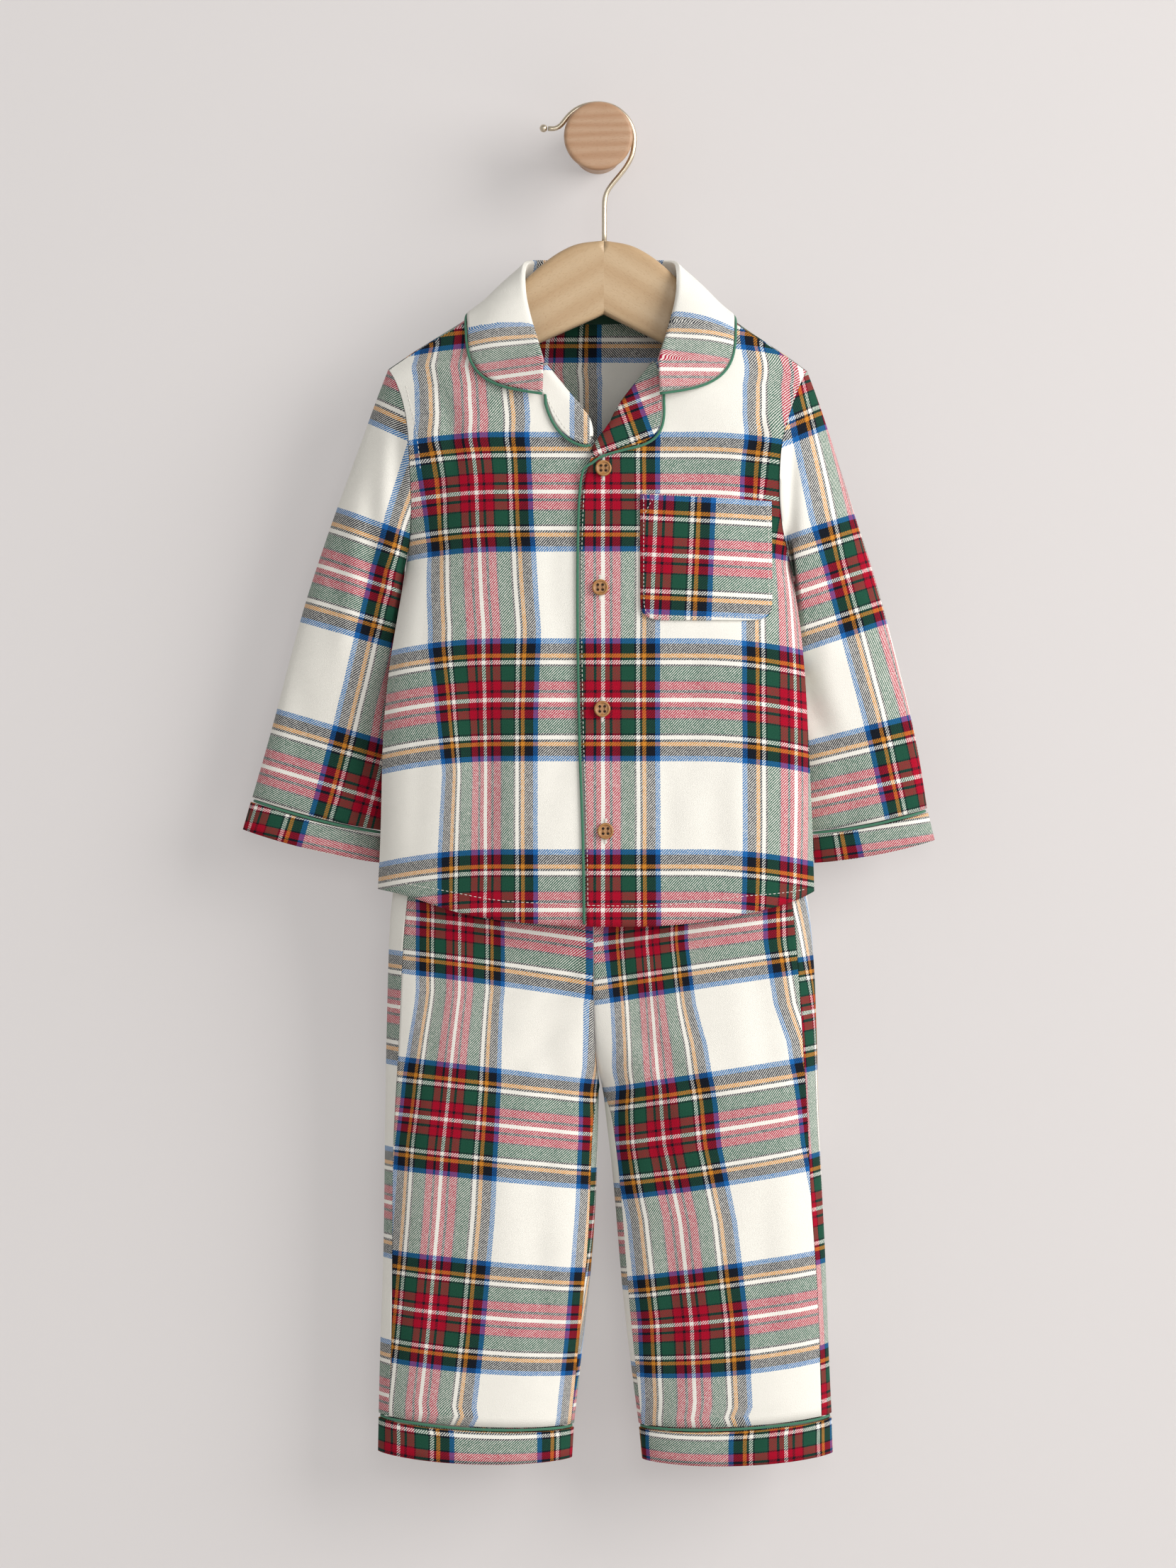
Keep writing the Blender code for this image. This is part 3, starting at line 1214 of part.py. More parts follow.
def hanger(parts):
    """The two halves of the hanger, bored for the hook."""
    solid = bmesh.new()
    bmesh.ops.create_cone(
        solid, cap_ends=True, segments=12, radius1=(WIRE_RADIUS + GAP) * MM,
        radius2=(WIRE_RADIUS + GAP) * MM, depth=2 * BORE_DEPTH * MM,
    )
    mesh = bpy.data.meshes.new("hook_bore")
    solid.to_mesh(mesh)
    solid.free()
    bore = new_cutter("hook_bore", mesh)
    bore.location = (HOOK_ROUTE[-1][0] * MM, HANGER_Y * MM, HANGER_TOP["z"][0] * MM)
    for side in SHOULDER:
        hanger_half(parts, side, bore)


def hook(parts):
    """The hanger's wire hook and the small ball on its end."""
    wire = material("hook", "wire", 0.3, 1.0)
    route = [(x, HANGER_Y, z) for x, z in HOOK_ROUTE]
    tube("hook", even_route(route, 42), WIRE_RADIUS, parts, wire, sides=2)
    solid = bmesh.new()
    bmesh.ops.create_uvsphere(
        solid, u_segments=14, v_segments=9, radius=HOOK_BALL_RADIUS * MM
    )
    mesh = bpy.data.meshes.new("hook_ball")
    solid.to_mesh(mesh)
    solid.free()
    mesh.shade_smooth()
    ball = new_object("hook_ball", mesh, parts, material("hook_ball", "wire", 0.3, 1.0))
    end_x, end_z = HOOK_ROUTE[0]
    ball.location = ((end_x - HOOK_BALL_RADIUS - GAP) * MM, HANGER_Y * MM, (end_z + 0.1) * MM)


def wall_knob(parts):
    """The turned knob, flat against the wall, that the hanger hangs on."""
    mesh = bpy.data.meshes.new("wall_knob")
    points = [(radius * MM, y * MM, 0.0) for radius, y in KNOB_PROFILE]
    mesh.from_pydata(points, [(i, i + 1) for i in range(len(points) - 1)], [])
    made = new_object("wall_knob", mesh, parts, material("wall_knob", "pine", 0.55))
    turn = made.modifiers.new("turned", "SCREW")
    turn.axis = "Y"
    turn.steps, turn.render_steps = 26, 26
    turn.use_merge_vertices = True
    turn.merge_threshold = 0.00001
    turn.use_normal_calculate = True


def clear_scene():
    for thing in list(bpy.data.objects):
        bpy.data.objects.remove(thing, do_unlink=True)


def main():
    clear_scene()
    parts = bpy.data.collections.new("pyjama_set")
    cutters = bpy.data.collections.new("cutters")
    bpy.context.scene.collection.children.link(parts)
    bpy.context.scene.collection.children.link(cutters)
    grids, inner, out, inward = shirt_body(parts)
    outside = {name: tree_of([(grids[name], out[name])]) for name in grids}
    inside = {name: tree_of([(inner[name], -out[name])]) for name in grids}
    body = tree_of([(grids[name], out[name]) for name in grids])
    for side in SHOULDER:
        sleeve(parts, armhole_loop(grids, side), inward[side], body, side)
    lapels = []
    for side, source, reach in (("right", RIGHT_LAPEL, LAPEL_TURN_UNDER), ("left", LEFT_LAPEL, 6.0)):
        beneath = outside["front_" + side], inside["front_" + side]
        lapels.append(lapel(parts, "lapel_" + side, source, *beneath, reach))
    lapel_piping(parts, "lapel_piping", *lapels[0], outside["front_right"], np.empty((0, 3)))
    z = np.array(FRONT_PIPING_Z, dtype=float)
    x = inner_edge("left", z)
    over = ease(-216, -205, z)
    beside = x - PIPING_RADIUS - GAP - 0.4 - 0.8 * over
    down = np.stack((beside, front_y(x, z) + CLOTH / 2 - 2.0 * over, z), axis=-1)
    lapel_piping(parts, "front_piping", *lapels[1], outside["front_left"], down)
    turned = [(middle[3:] + facing[3:] * LAPEL / 2, facing[3:]) for middle, facing in lapels]
    collar(parts, grids, body, tree_of(turned))
    pocket(parts, outside["front_left"])
    neck_tape(parts)
    for index, (x, z) in enumerate(zip(BUTTONS["x"], BUTTONS["z"]), start=1):
        button(parts, index, float(x), float(z))
    right_top = leg(parts, "right", RIGHT_LEG)
    left_top = leg(parts, "left", LEFT_LEG)
    leg_band(parts, "right", RIGHT_LEG_BAND, RIGHT_LEG)
    leg_band(parts, "left", LEFT_LEG_BAND, LEFT_LEG)
    waistband(parts, right_top, left_top)
    hanger(parts)
    hook(parts)
    wall_knob(parts)


main()
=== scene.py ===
# %% [markdown]
# # A child's tartan pyjama set on its hanger
#
# This lesson dresses a finished model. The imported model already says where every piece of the
# pyjamas lies and how big it is. Here each piece gets the surface that a hand would feel: soft
# cloth with creases in it, a woven check that follows the grain, piping, stitches, drilled
# buttons, waxed beech, plated wire and a turned pine knob.

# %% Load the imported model
import json
import math

import bmesh
import bpy
import numpy as np
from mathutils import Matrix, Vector, noise
from mathutils.bvhtree import BVHTree
from mathutils.geometry import convex_hull_2d

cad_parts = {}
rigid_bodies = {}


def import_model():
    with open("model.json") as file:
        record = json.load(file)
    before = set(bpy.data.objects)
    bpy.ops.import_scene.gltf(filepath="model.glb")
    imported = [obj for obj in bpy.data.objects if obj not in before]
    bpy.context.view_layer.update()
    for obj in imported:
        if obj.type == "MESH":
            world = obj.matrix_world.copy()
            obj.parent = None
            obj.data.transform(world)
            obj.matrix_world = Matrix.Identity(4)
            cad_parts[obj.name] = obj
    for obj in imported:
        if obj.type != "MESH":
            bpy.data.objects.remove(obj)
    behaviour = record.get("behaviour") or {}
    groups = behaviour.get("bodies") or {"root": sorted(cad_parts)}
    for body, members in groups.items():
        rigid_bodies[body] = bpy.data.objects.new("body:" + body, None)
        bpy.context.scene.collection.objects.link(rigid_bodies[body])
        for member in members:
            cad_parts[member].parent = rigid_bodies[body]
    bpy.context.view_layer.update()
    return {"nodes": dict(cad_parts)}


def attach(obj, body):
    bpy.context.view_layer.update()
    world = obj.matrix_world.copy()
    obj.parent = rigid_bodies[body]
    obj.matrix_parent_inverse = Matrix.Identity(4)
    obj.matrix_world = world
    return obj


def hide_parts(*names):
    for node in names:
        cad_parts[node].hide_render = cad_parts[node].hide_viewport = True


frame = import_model()
MM = 0.001


def as_object(name, data):
    """Puts a mesh, a light or a camera in the scene as an object."""
    made = bpy.data.objects.new(name, data)
    bpy.context.scene.collection.objects.link(made)
    return made


# %% [markdown]
# ## The camera
#
# The set is seen straight on from almost three metres, a little to the left of its middle. A
# long lens keeps the hem and the collar at the same scale. The lens is worked out from the
# height of wall that has to fit in the frame.

# %% Place the camera
CAMERA_PLACE = (-0.0064, -2.952, -0.4012)
CLOTH_DISTANCE = 2.900
VIEW_HEIGHT = 0.9733
FILM = 36.0

camera_data = bpy.data.cameras.new("camera")
camera_data.sensor_width = FILM
camera_data.lens = FILM * CLOTH_DISTANCE / VIEW_HEIGHT
camera = as_object("camera", camera_data)
camera.location = CAMERA_PLACE
camera.rotation_euler = (math.radians(90), 0, 0)
bpy.context.scene.camera = camera
bpy.context.scene.view_settings.view_transform = "Standard"
print("lens", round(camera_data.lens, 1), "mm")

# %% [markdown]
# ## Colours, and small helpers for node trees
#
# Paint charts and screens give colours as hexadecimal numbers, and shaders want linear light,
# so one function turns the first into the second. Two more put a node in a tree with its
# values and links in one line, which keeps each material short enough to read.


# %% Helpers for colours and nodes
def colour(code):
    """Turns a screen colour such as F0EEE4 into linear red, green and blue with alpha."""
    parts = [int(code[i:i + 2], 16) / 255 for i in (0, 2, 4)]
    linear = [c / 12.92 if c < 0.04045 else ((c + 0.055) / 1.055) ** 2.4 for c in parts]
    return (*linear, 1.0)


def feed(tree, node, inputs):
    """Fills a node's inputs with numbers, colours or the sockets to link from."""
    for key, value in dict(inputs).items():
        if isinstance(value, bpy.types.NodeSocket):
            tree.links.new(value, node.inputs[key])
        else:
            node.inputs[key].default_value = value
    return node


def put(tree, kind, inputs=(), **settings):
    """Adds a node to a tree, with its settings and its inputs."""
    made = tree.nodes.new(kind)
    for name, value in settings.items():
        setattr(made, name, value)
    return feed(tree, made, inputs)


def calc(tree, operation, *values):
    """Adds one sum to a tree and gives its result."""
    return put(tree, "ShaderNodeMath", enumerate(values), operation=operation).outputs[0]


def tuned(tree, value, times, plus):
    """Multiplies a value, then adds to it."""
    return calc(tree, "ADD", calc(tree, "MULTIPLY", value, times), plus)


def noise_at(tree, place, scale, detail, distortion=0.0):
    """Soft noise between 0 and 1, read at a place."""
    inputs = {"Vector": place, "Scale": scale, "Detail": detail, "Distortion": distortion}
    return put(tree, "ShaderNodeTexNoise", inputs).outputs["Fac"]


def own_place(tree):
    """Where a point lies in its piece's own frame."""
    return put(tree, "ShaderNodeTexCoord").outputs["Object"]


def stretched(tree, place, by):
    """A place with each of its three numbers multiplied."""
    made = put(tree, "ShaderNodeVectorMath", {0: place, 1: by}, operation="MULTIPLY")
    return made.outputs["Vector"]


def shaded(tree, tint, light):
    """A colour made lighter or darker."""
    made = put(tree, "ShaderNodeVectorMath", {0: tint, "Scale": light}, operation="SCALE")
    return made.outputs["Vector"]


def blend(tree, share, low, high):
    """Mixes two colours by a share from 0 to 1."""
    factor, first, second = 0, 6, 7
    inputs = {factor: share, first: low, second: high}
    made = put(tree, "ShaderNodeMix", inputs, data_type="RGBA")
    return next(socket for socket in made.outputs if socket.type == "RGBA")


def new_group(name, inputs, outputs, kind_of_tree="ShaderNodeTree"):
    """Makes an empty node group with named sockets. Gives the tree and its two ends."""
    tree = bpy.data.node_groups.new(name, kind_of_tree)
    for label, kind, value in inputs:
        socket = tree.interface.new_socket(label, in_out="INPUT", socket_type="NodeSocket" + kind)
        if value is not None:
            socket.default_value = value
    for label, kind in outputs:
        tree.interface.new_socket(label, in_out="OUTPUT", socket_type="NodeSocket" + kind)
    return tree, tree.nodes.new("NodeGroupInput"), tree.nodes.new("NodeGroupOutput")


def use_group(tree, group, inputs=()):
    """Places a node group in a tree, with its own values."""
    return put(tree, "ShaderNodeGroup", inputs, node_tree=group)


print("cream in linear light", [round(c, 3) for c in colour("F0EEE4")])

# %% [markdown]
# ## The check
#
# The cloth is a brushed cotton twill. Warp yarns run down the garment and weft yarns across
# it, and both carry the same list of coloured stripes on cream. Where two colours cross, each
# shows on half of the surface, as fine diagonal lines. So the pattern needs no picture: one
# stripe list is read twice, and a diagonal mask picks the warp or the weft. It reads a map
# in metres that lies along the grain of each piece.

# %% List the stripes
CREAM, BLUE, INK, GOLD = "EDECE4", "1760A6", "0E141F", "C88128"
PINE_GREEN, RED = "1A4C3A", "A20426"
REPEAT = 0.1190
# Where each stripe starts, in millimetres from the middle of a narrow cream line, and its
# colour. The list runs there and back once in a repeat.
STRIPES = (
    (0.0, CREAM), (1.15, RED), (3.75, INK), (5.45, RED), (10.1, INK), (11.15, PINE_GREEN),
    (18.8, INK), (19.9, CREAM), (22.1, INK), (23.7, GOLD), (25.9, INK), (31.4, BLUE),
    (34.6, CREAM),
)
TWILL_PITCH = 1.56 * MM


def stripes(tree, distance):
    """Reads the stripe list at a distance along the cloth."""
    half = REPEAT / 2
    share = calc(tree, "DIVIDE", calc(tree, "PINGPONG", distance, half), half)
    ramp = put(tree, "ShaderNodeValToRGB", {"Fac": share})
    ramp.color_ramp.interpolation = "CONSTANT"
    points = ramp.color_ramp.elements
    points[0].color = colour(STRIPES[0][1])
    points[1].position, points[1].color = 1.0, colour(CREAM)
    for start, code in STRIPES[1:]:
        points.new(start * MM / half).color = colour(code)
    return ramp.outputs["Color"]


print("stripes in half a repeat", len(STRIPES))

# %% [markdown]
# ## Warp over weft
#
# In twill each weft yarn passes over the warp in steps, which draws the fine diagonals; the grooves
# between them are painted a little darker, as painted shade. Dark yarns spread a little over light
# ones, and this wider dark share paints the shade that a dark yarn's edge casts on a light one.
# Brushing raises fibres that blur two colours into each other, so a share of the crossing is the
# colour that both give together.

# %% Weave the check
WEFT_SHARE = 0.54  # how much of the surface the weft covers
DARK_SPREAD_SHADE = 0.09  # how much more a darker yarn covers, as painted shade from its edge on a lighter yarn
BLEED = 0.24  # how far unlike yarns blur into each other
MERGE = 0.62  # how far like yarns do
SOFT_EDGE = 0.08  # how soft the edge of a diagonal is
STRAY = 0.55 * MM  # the width over which stray fibres scatter a stripe's edge
NAP_COLOUR = "E8E2D8"


def lightness(tree, tint):
    """How light a colour is, from 0 to 1."""
    return put(tree, "ShaderNodeRGBToBW", {"Color": tint}).outputs["Val"]


def zigzag(tree, value):
    """Turns 0 to 1 into 1 down to 0 and up to 1 again."""
    off = calc(tree, "ABSOLUTE", calc(tree, "SUBTRACT", value, 0.5))
    return calc(tree, "MULTIPLY", off, 2.0)


def crossed(tree, wave, weft, warp):
    """The colour where two yarns cross, from the height of a diagonal."""
    contrast = calc(tree, "SUBTRACT", lightness(tree, warp), lightness(tree, weft))
    # A darker yarn covers more of the crossing, which paints the shade its edge casts on the
    # lighter yarn.
    edge = tuned(tree, contrast, DARK_SPREAD_SHADE, WEFT_SHARE)
    over = put(
        tree, "ShaderNodeMapRange",
        {"Value": calc(tree, "SUBTRACT", wave, edge), "From Min": -SOFT_EDGE,
         "From Max": SOFT_EDGE},
        interpolation_type="SMOOTHSTEP",
    ).outputs["Result"]
    crossing = blend(tree, over, weft, warp)
    through = put(
        tree, "ShaderNodeGamma", {"Color": stretched(tree, weft, warp), "Gamma": 0.5}
    ).outputs["Color"]
    apart = calc(tree, "MULTIPLY", calc(tree, "ABSOLUTE", contrast), 2.0)
    unlike = calc(tree, "MINIMUM", apart, 1.0)
    dyed = blend(tree, calc(tree, "MULTIPLY", unlike, BLEED), crossing, through)
    merge = calc(tree, "MULTIPLY", calc(tree, "SUBTRACT", 1.0, unlike), MERGE)
    return blend(tree, merge, dyed, blend(tree, 0.5, weft, warp))


def weave_group():
    """The check as a shader group: its colour, with painted shade in the grooves between its
    diagonal ribs, and the height of its diagonal ribs and nap.
    """
    tree, start, end = new_group(
        "check_weave",
        (("Cloth", "Vector", None), ("Nap", "Float", 0.03), ("Wear", "Float", 0.07)),
        (("Color", "Color"), ("Height", "Float")),
    )
    place = start.outputs["Cloth"]
    fuzz = noise_at(tree, place, scale=1600.0, detail=2.0)
    shift = calc(tree, "MULTIPLY", calc(tree, "SUBTRACT", fuzz, 0.5), STRAY)
    split = put(tree, "ShaderNodeSeparateXYZ", {"Vector": place})
    across = calc(tree, "ADD", split.outputs["X"], shift)
    down = calc(tree, "ADD", split.outputs["Y"], shift)
    rib = calc(tree, "FRACT", calc(tree, "DIVIDE", calc(tree, "ADD", across, down), TWILL_PITCH))
    wave = zigzag(tree, rib)
    woven = crossed(tree, wave, stripes(tree, down), stripes(tree, across))
    groove = zigzag(tree, wave)
    patchy = calc(tree, "SUBTRACT", noise_at(tree, place, scale=60.0, detail=3.0), 0.5)
    # The grooves between the ribs are painted up to 7% darker, as painted shade; the wear noise
    # makes the tone patchy at random.
    light = tuned(tree, patchy, start.outputs["Wear"], tuned(tree, groove, 0.07, 0.93))
    lint = calc(tree, "MULTIPLY", calc(tree, "POWER", fuzz, 3.0), start.outputs["Nap"])
    napped = blend(tree, lint, shaded(tree, woven, light), colour(NAP_COLOUR))
    feed(tree, end, {"Color": napped, "Height": tuned(tree, groove, 0.5, fuzz)})
    return tree


CHECK_WEAVE = weave_group()
print("check group with", len(CHECK_WEAVE.nodes), "nodes")

# %% [markdown]
# ## From weave to material
#
# Brushed cotton hardly shines, so it is rough, with a trace of sheen from its raised fibres.
# The group's height goes to the shader as a very shallow bump.

# %% The cloth material
def surface(name, roughness=0.8, **constants):
    """Starts a material: its tree and its shader, with constants set on the shader itself."""
    made = bpy.data.materials.new(name)
    made.use_nodes = True
    tree = made.node_tree
    shader = tree.nodes["Principled BSDF"]
    shader.inputs["Roughness"].default_value = roughness
    for key, value in constants.items():
        shader.inputs[key.replace("_", " ").title().replace("Ior", "IOR")].default_value = value
    return made, tree, shader


def raise_relief(tree, shader, height, distance, strength=1.0):
    """Feeds a height to the shader as bump, in metres."""
    inputs = {"Height": height, "Distance": distance, "Strength": strength}
    bump = put(tree, "ShaderNodeBump", inputs)
    feed(tree, shader, {"Normal": bump.outputs["Normal"]})


def check_cloth():
    """The brushed check, which reads the map named grain."""
    made, tree, shader = surface(
        "brushed_check", 0.95, sheen_weight=0.02, sheen_roughness=0.5, specular_ior_level=0.08
    )
    grain = put(tree, "ShaderNodeUVMap", uv_map="grain")
    weave = use_group(tree, CHECK_WEAVE, {"Cloth": grain.outputs["UV"]})
    feed(tree, shader, {"Base Color": weave.outputs["Color"]})
    raise_relief(tree, shader, weave.outputs["Height"], 0.22 * MM, 0.7)
    return made


CHECK = check_cloth()
print("made", CHECK.name)

# %% [markdown]
# ## Plain trimmings
#
# Piping and tape are plain green cotton. The piping is a bias strip round a cord, so fine diagonal
# ribs wind along it. One group of ribs serves piping, tape and sewing thread, each with its own
# pitch and colour, and it paints the hollows between the ribs darker, as painted shade.


# %% Rib group and the plain threads
def rib_group():
    """Fine ribs that wind over a piece, as a height and a colour with painted shade in the hollows
    between ribs, made a little uneven by the fibres.
    """
    tree, start, end = new_group(
        "fine_ribs",
        (
            ("Place", "Vector", None), ("Pitch", "Float", 0.7 * MM),
            ("Color", "Color", colour("2F5F48")),
        ),
        (("Color", "Color"), ("Height", "Float")),
    )
    split = put(tree, "ShaderNodeSeparateXYZ", {"Vector": start.outputs["Place"]}).outputs
    run = calc(tree, "ADD", split["X"], calc(tree, "ADD", split["Y"], split["Z"]))
    turn = calc(tree, "DIVIDE", calc(tree, "MULTIPLY", run, math.tau), start.outputs["Pitch"])
    fuzz = noise_at(tree, start.outputs["Place"], scale=900.0, detail=2.0)
    height = tuned(tree, calc(tree, "SINE", turn), 0.35, fuzz)
    # The hollows between ribs are painted darker, as painted shade; the fibre noise in the height
    # makes the tone a little uneven too.
    tone = tuned(tree, height, 0.16, 0.86)
    feed(tree, end, {"Color": shaded(tree, start.outputs["Color"], tone), "Height": height})
    return tree


RIBS = rib_group()


def ribbed(name, code, pitch, roughness=0.75, relief=0.12, sheen=0.2):
    """A plain ribbed thread or strip of one colour."""
    made, tree, shader = surface(name, roughness, sheen_weight=sheen, specular_ior_level=0.3)
    ribs = use_group(
        tree, RIBS, {"Place": own_place(tree), "Pitch": pitch, "Color": colour(code)}
    )
    feed(tree, shader, {"Base Color": ribs.outputs["Color"]})
    raise_relief(tree, shader, ribs.outputs["Height"], relief * MM)
    return made


PIPING_GREEN = ribbed("green_piping", "3F7A60", 0.8 * MM)
TAPE_GREEN = ribbed("green_tape", "1E4433", 0.9 * MM, 0.85)
WHITE_THREAD = ribbed("white_thread", "EDEAE2", 0.5 * MM, 0.7, 0.08)
print("trim materials ready")

# %% [markdown]
# ## Wood
#
# Beech shows short brown flecks in pale, even wood, and its grain follows the length of each
# hanger half. Pine shows broad soft lines. Both are one group: rings stretched along the
# grain, fine fibres, and flecks whose strength each wood sets for itself. A Mapping node turns
# the grain to lie along the piece.


# %% Wood group
def wood_group():
    """Sawn wood: its colour, the height of its fibres and how rough they are."""
    tree, start, end = new_group(
        "sawn_wood",
        (
            ("Grain", "Vector", None), ("Light", "Color", colour("DDBE94")),
            ("Dark", "Color", colour("C29A68")), ("Rings", "Float", 60.0), ("Flecks", "Float", 0.4),
        ),
        (("Color", "Color"), ("Height", "Float"), ("Gloss", "Float")),
    )
    grain = start.outputs["Grain"]
    long = stretched(tree, grain, (0.06, 1.0, 1.0))
    drift = noise_at(tree, long, scale=22.0, detail=3.0)
    split = put(tree, "ShaderNodeSeparateXYZ", {"Vector": long})
    turns = calc(
        tree, "MULTIPLY", tuned(tree, drift, 0.035, split.outputs["Z"]), start.outputs["Rings"]
    )
    ring = calc(tree, "SINE", calc(tree, "MULTIPLY", turns, math.tau))
    fibre = noise_at(tree, long, scale=900.0, detail=2.0)
    band = calc(tree, "MULTIPLY", tuned(tree, ring, 0.5, 0.5), 0.55)
    share = tuned(tree, fibre, 0.4, band)
    plain = blend(tree, share, start.outputs["Light"], start.outputs["Dark"])
    short = stretched(tree, grain, (0.22, 1.0, 1.0))
    speck = noise_at(tree, short, scale=2400.0, detail=0.0)
    fleck = put(
        tree, "ShaderNodeMapRange", {"Value": speck, "From Min": 0.64, "From Max": 0.72}
    ).outputs["Result"]
    amount = calc(tree, "MULTIPLY", fleck, start.outputs["Flecks"])
    feed(tree, end, {
        "Color": blend(tree, amount, plain, colour("9A6F42")),
        "Height": calc(tree, "SUBTRACT", fibre, fleck),
        "Gloss": tuned(tree, share, 0.14, 0.38),
    })
    return tree


WOOD = wood_group()


def wood(name, turn, light, dark, rings, flecks):
    """A wood whose grain is turned to lie along the piece."""
    made, tree, shader = surface(
        name, 0.45, coat_weight=0.15, coat_roughness=0.35, specular_ior_level=0.4
    )
    turned = put(tree, "ShaderNodeMapping", {"Vector": own_place(tree), "Rotation": turn})
    sawn = use_group(
        tree, WOOD,
        {"Grain": turned.outputs["Vector"], "Light": colour(light), "Dark": colour(dark),
         "Rings": rings, "Flecks": flecks},
    )
    feed(tree, shader, {"Base Color": sawn.outputs["Color"], "Roughness": sawn.outputs["Gloss"]})
    raise_relief(tree, shader, sawn.outputs["Height"], 0.05 * MM)
    return made


HANGER_SLOPE = math.radians(30)
BEECH = {
    "right": wood("beech_right", (0, HANGER_SLOPE, 0), "C4AB88", "B4956F", 55.0, 0.16),
    "left": wood("beech_left", (0, -HANGER_SLOPE, 0), "C4AB88", "B4956F", 55.0, 0.16),
}
PINE = wood("turned_pine", (0, math.radians(2), 0), "B69679", "A47C5B", 150.0, 0.1)
print("woods ready")

# %% [markdown]
# ## Wire and buttons
#
# The hook is drawn steel wire with a pale satin plating, which the drawing has brushed very
# finely. The buttons are turned from a brown resin with soft lighter streaks, like horn.


# %% Metal and button materials
def plated_wire():
    """Satin plated steel, a little uneven in tone and polish."""
    made, tree, shader = surface("plated_wire", 0.32, metallic=1.0)
    brushed = noise_at(tree, own_place(tree), scale=700.0, detail=3.0)
    tone = blend(tree, brushed, colour("D9CFBC"), colour("C3B59C"))
    feed(tree, shader, {"Base Color": tone, "Roughness": tuned(tree, brushed, 0.16, 0.24)})
    return made


def horn_button():
    """Brown resin with soft, lighter streaks."""
    made, tree, shader = surface("horn_button", 0.4, coat_weight=0.25, coat_roughness=0.25)
    cloud = noise_at(tree, own_place(tree), scale=190.0, detail=4.0, distortion=1.4)
    feed(tree, shader, {"Base Color": blend(tree, cloud, colour("80501F"), colour("BE8A4C"))})
    raise_relief(tree, shader, cloud, 0.03 * MM)
    return made


WIRE = plated_wire()
HORN = horn_button()
print("hard materials ready")

# %% [markdown]
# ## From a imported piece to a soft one
#
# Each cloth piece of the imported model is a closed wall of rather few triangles. A copy is
# merged, its triangles are paired back into four-sided faces, and Subdivision Surface rounds
# it. Edges that turn sharply, round the rim of the cloth, are creased, so that hems and seams
# stay where they were cut.


# %% Copy and smooth a piece
JOIN_DISTANCE = 0.004 * MM
PAIR_FACES, PAIR_SHAPES = math.radians(40), math.radians(170)  # limits to pairing triangles
RIM_ANGLE = math.radians(50)


def baked(thing):
    """Turns an object's modifiers into its mesh."""
    graph = bpy.context.evaluated_depsgraph_get()
    mesh = bpy.data.meshes.new_from_object(thing.evaluated_get(graph))
    thing.modifiers.clear()
    old = thing.data
    thing.data = mesh
    bpy.data.meshes.remove(old)
    mesh.name = thing.name
    return thing


def soft_copy(name, node, levels, rim_angle=RIM_ANGLE):
    """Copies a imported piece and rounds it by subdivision."""
    shape = bmesh.new()
    shape.from_mesh(frame["nodes"][node].data)
    bmesh.ops.remove_doubles(shape, verts=shape.verts, dist=JOIN_DISTANCE)
    bmesh.ops.join_triangles(
        shape, faces=shape.faces, angle_face_threshold=PAIR_FACES,
        angle_shape_threshold=PAIR_SHAPES,
    )
    crease = shape.edges.layers.float.new("crease_edge")
    for edge in shape.edges:
        if edge.is_manifold and edge.calc_face_angle() > rim_angle:
            edge[crease] = 1.0
    mesh = bpy.data.meshes.new(name)
    shape.to_mesh(mesh)
    shape.free()
    made = as_object(name, mesh)
    soften = made.modifiers.new("soften", "SUBSURF")
    soften.levels = soften.render_levels = levels
    baked(made)
    made.data.shade_smooth()
    made.data.set_sharp_from_angle(angle=rim_angle)
    return made


def numbers(rows, field, wide=1, kind=np.int64):
    """Reads one field of all of a mesh's points, corners or faces as an array."""
    flat = np.empty(len(rows) * wide, dtype=kind)
    rows.foreach_get(field, flat)
    return flat


def points_of(thing):
    """Gives a mesh's points as an array, a row for each."""
    return numbers(thing.data.vertices, "co", 3, float).reshape(-1, 3)


def set_points(thing, points):
    """Moves a mesh's points to the rows of an array."""
    thing.data.vertices.foreach_set("co", points.astype(np.float32).ravel())
    thing.data.update()


def middle_of(points):
    """The middle of the box round some points."""
    return (points.max(axis=0) + points.min(axis=0)) / 2


print("soft copies keep rims sharper than", round(math.degrees(RIM_ANGLE)), "degrees")

# %% [markdown]
# ## How far round and how far down
#
# A tailor lays the pattern on flat cloth, so the check has to be measured along the surface
# and not through the air. For a tube such as a sleeve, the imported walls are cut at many
# levels, and the length round each cut ring is added up. A point's place across the cloth is
# then its length round the ring, and its place down the cloth is its distance down the
# tube's own line.


# %% Measure the cloth along its surface
RING_STEPS = 144
LEVEL_GAP = 6.0 * MM
EVEN_OUT = 6
SPOTS_A_CUT = 24
SIDE_START, SIDE_END = 0.03, 0.17  # where the push fades in from the side, in half widths


def evened(rounds):
    """Smooths rings, round each of them and from one to the next."""
    for _ in range(EVEN_OUT):
        rounds = (np.roll(rounds, 1, axis=1) + 2 * rounds + np.roll(rounds, -1, axis=1)) / 4
        inner = (rounds[:-2] + 2 * rounds[1:-1] + rounds[2:]) / 4
        rounds = np.concatenate((rounds[:1], inner, rounds[-1:]))
    return rounds


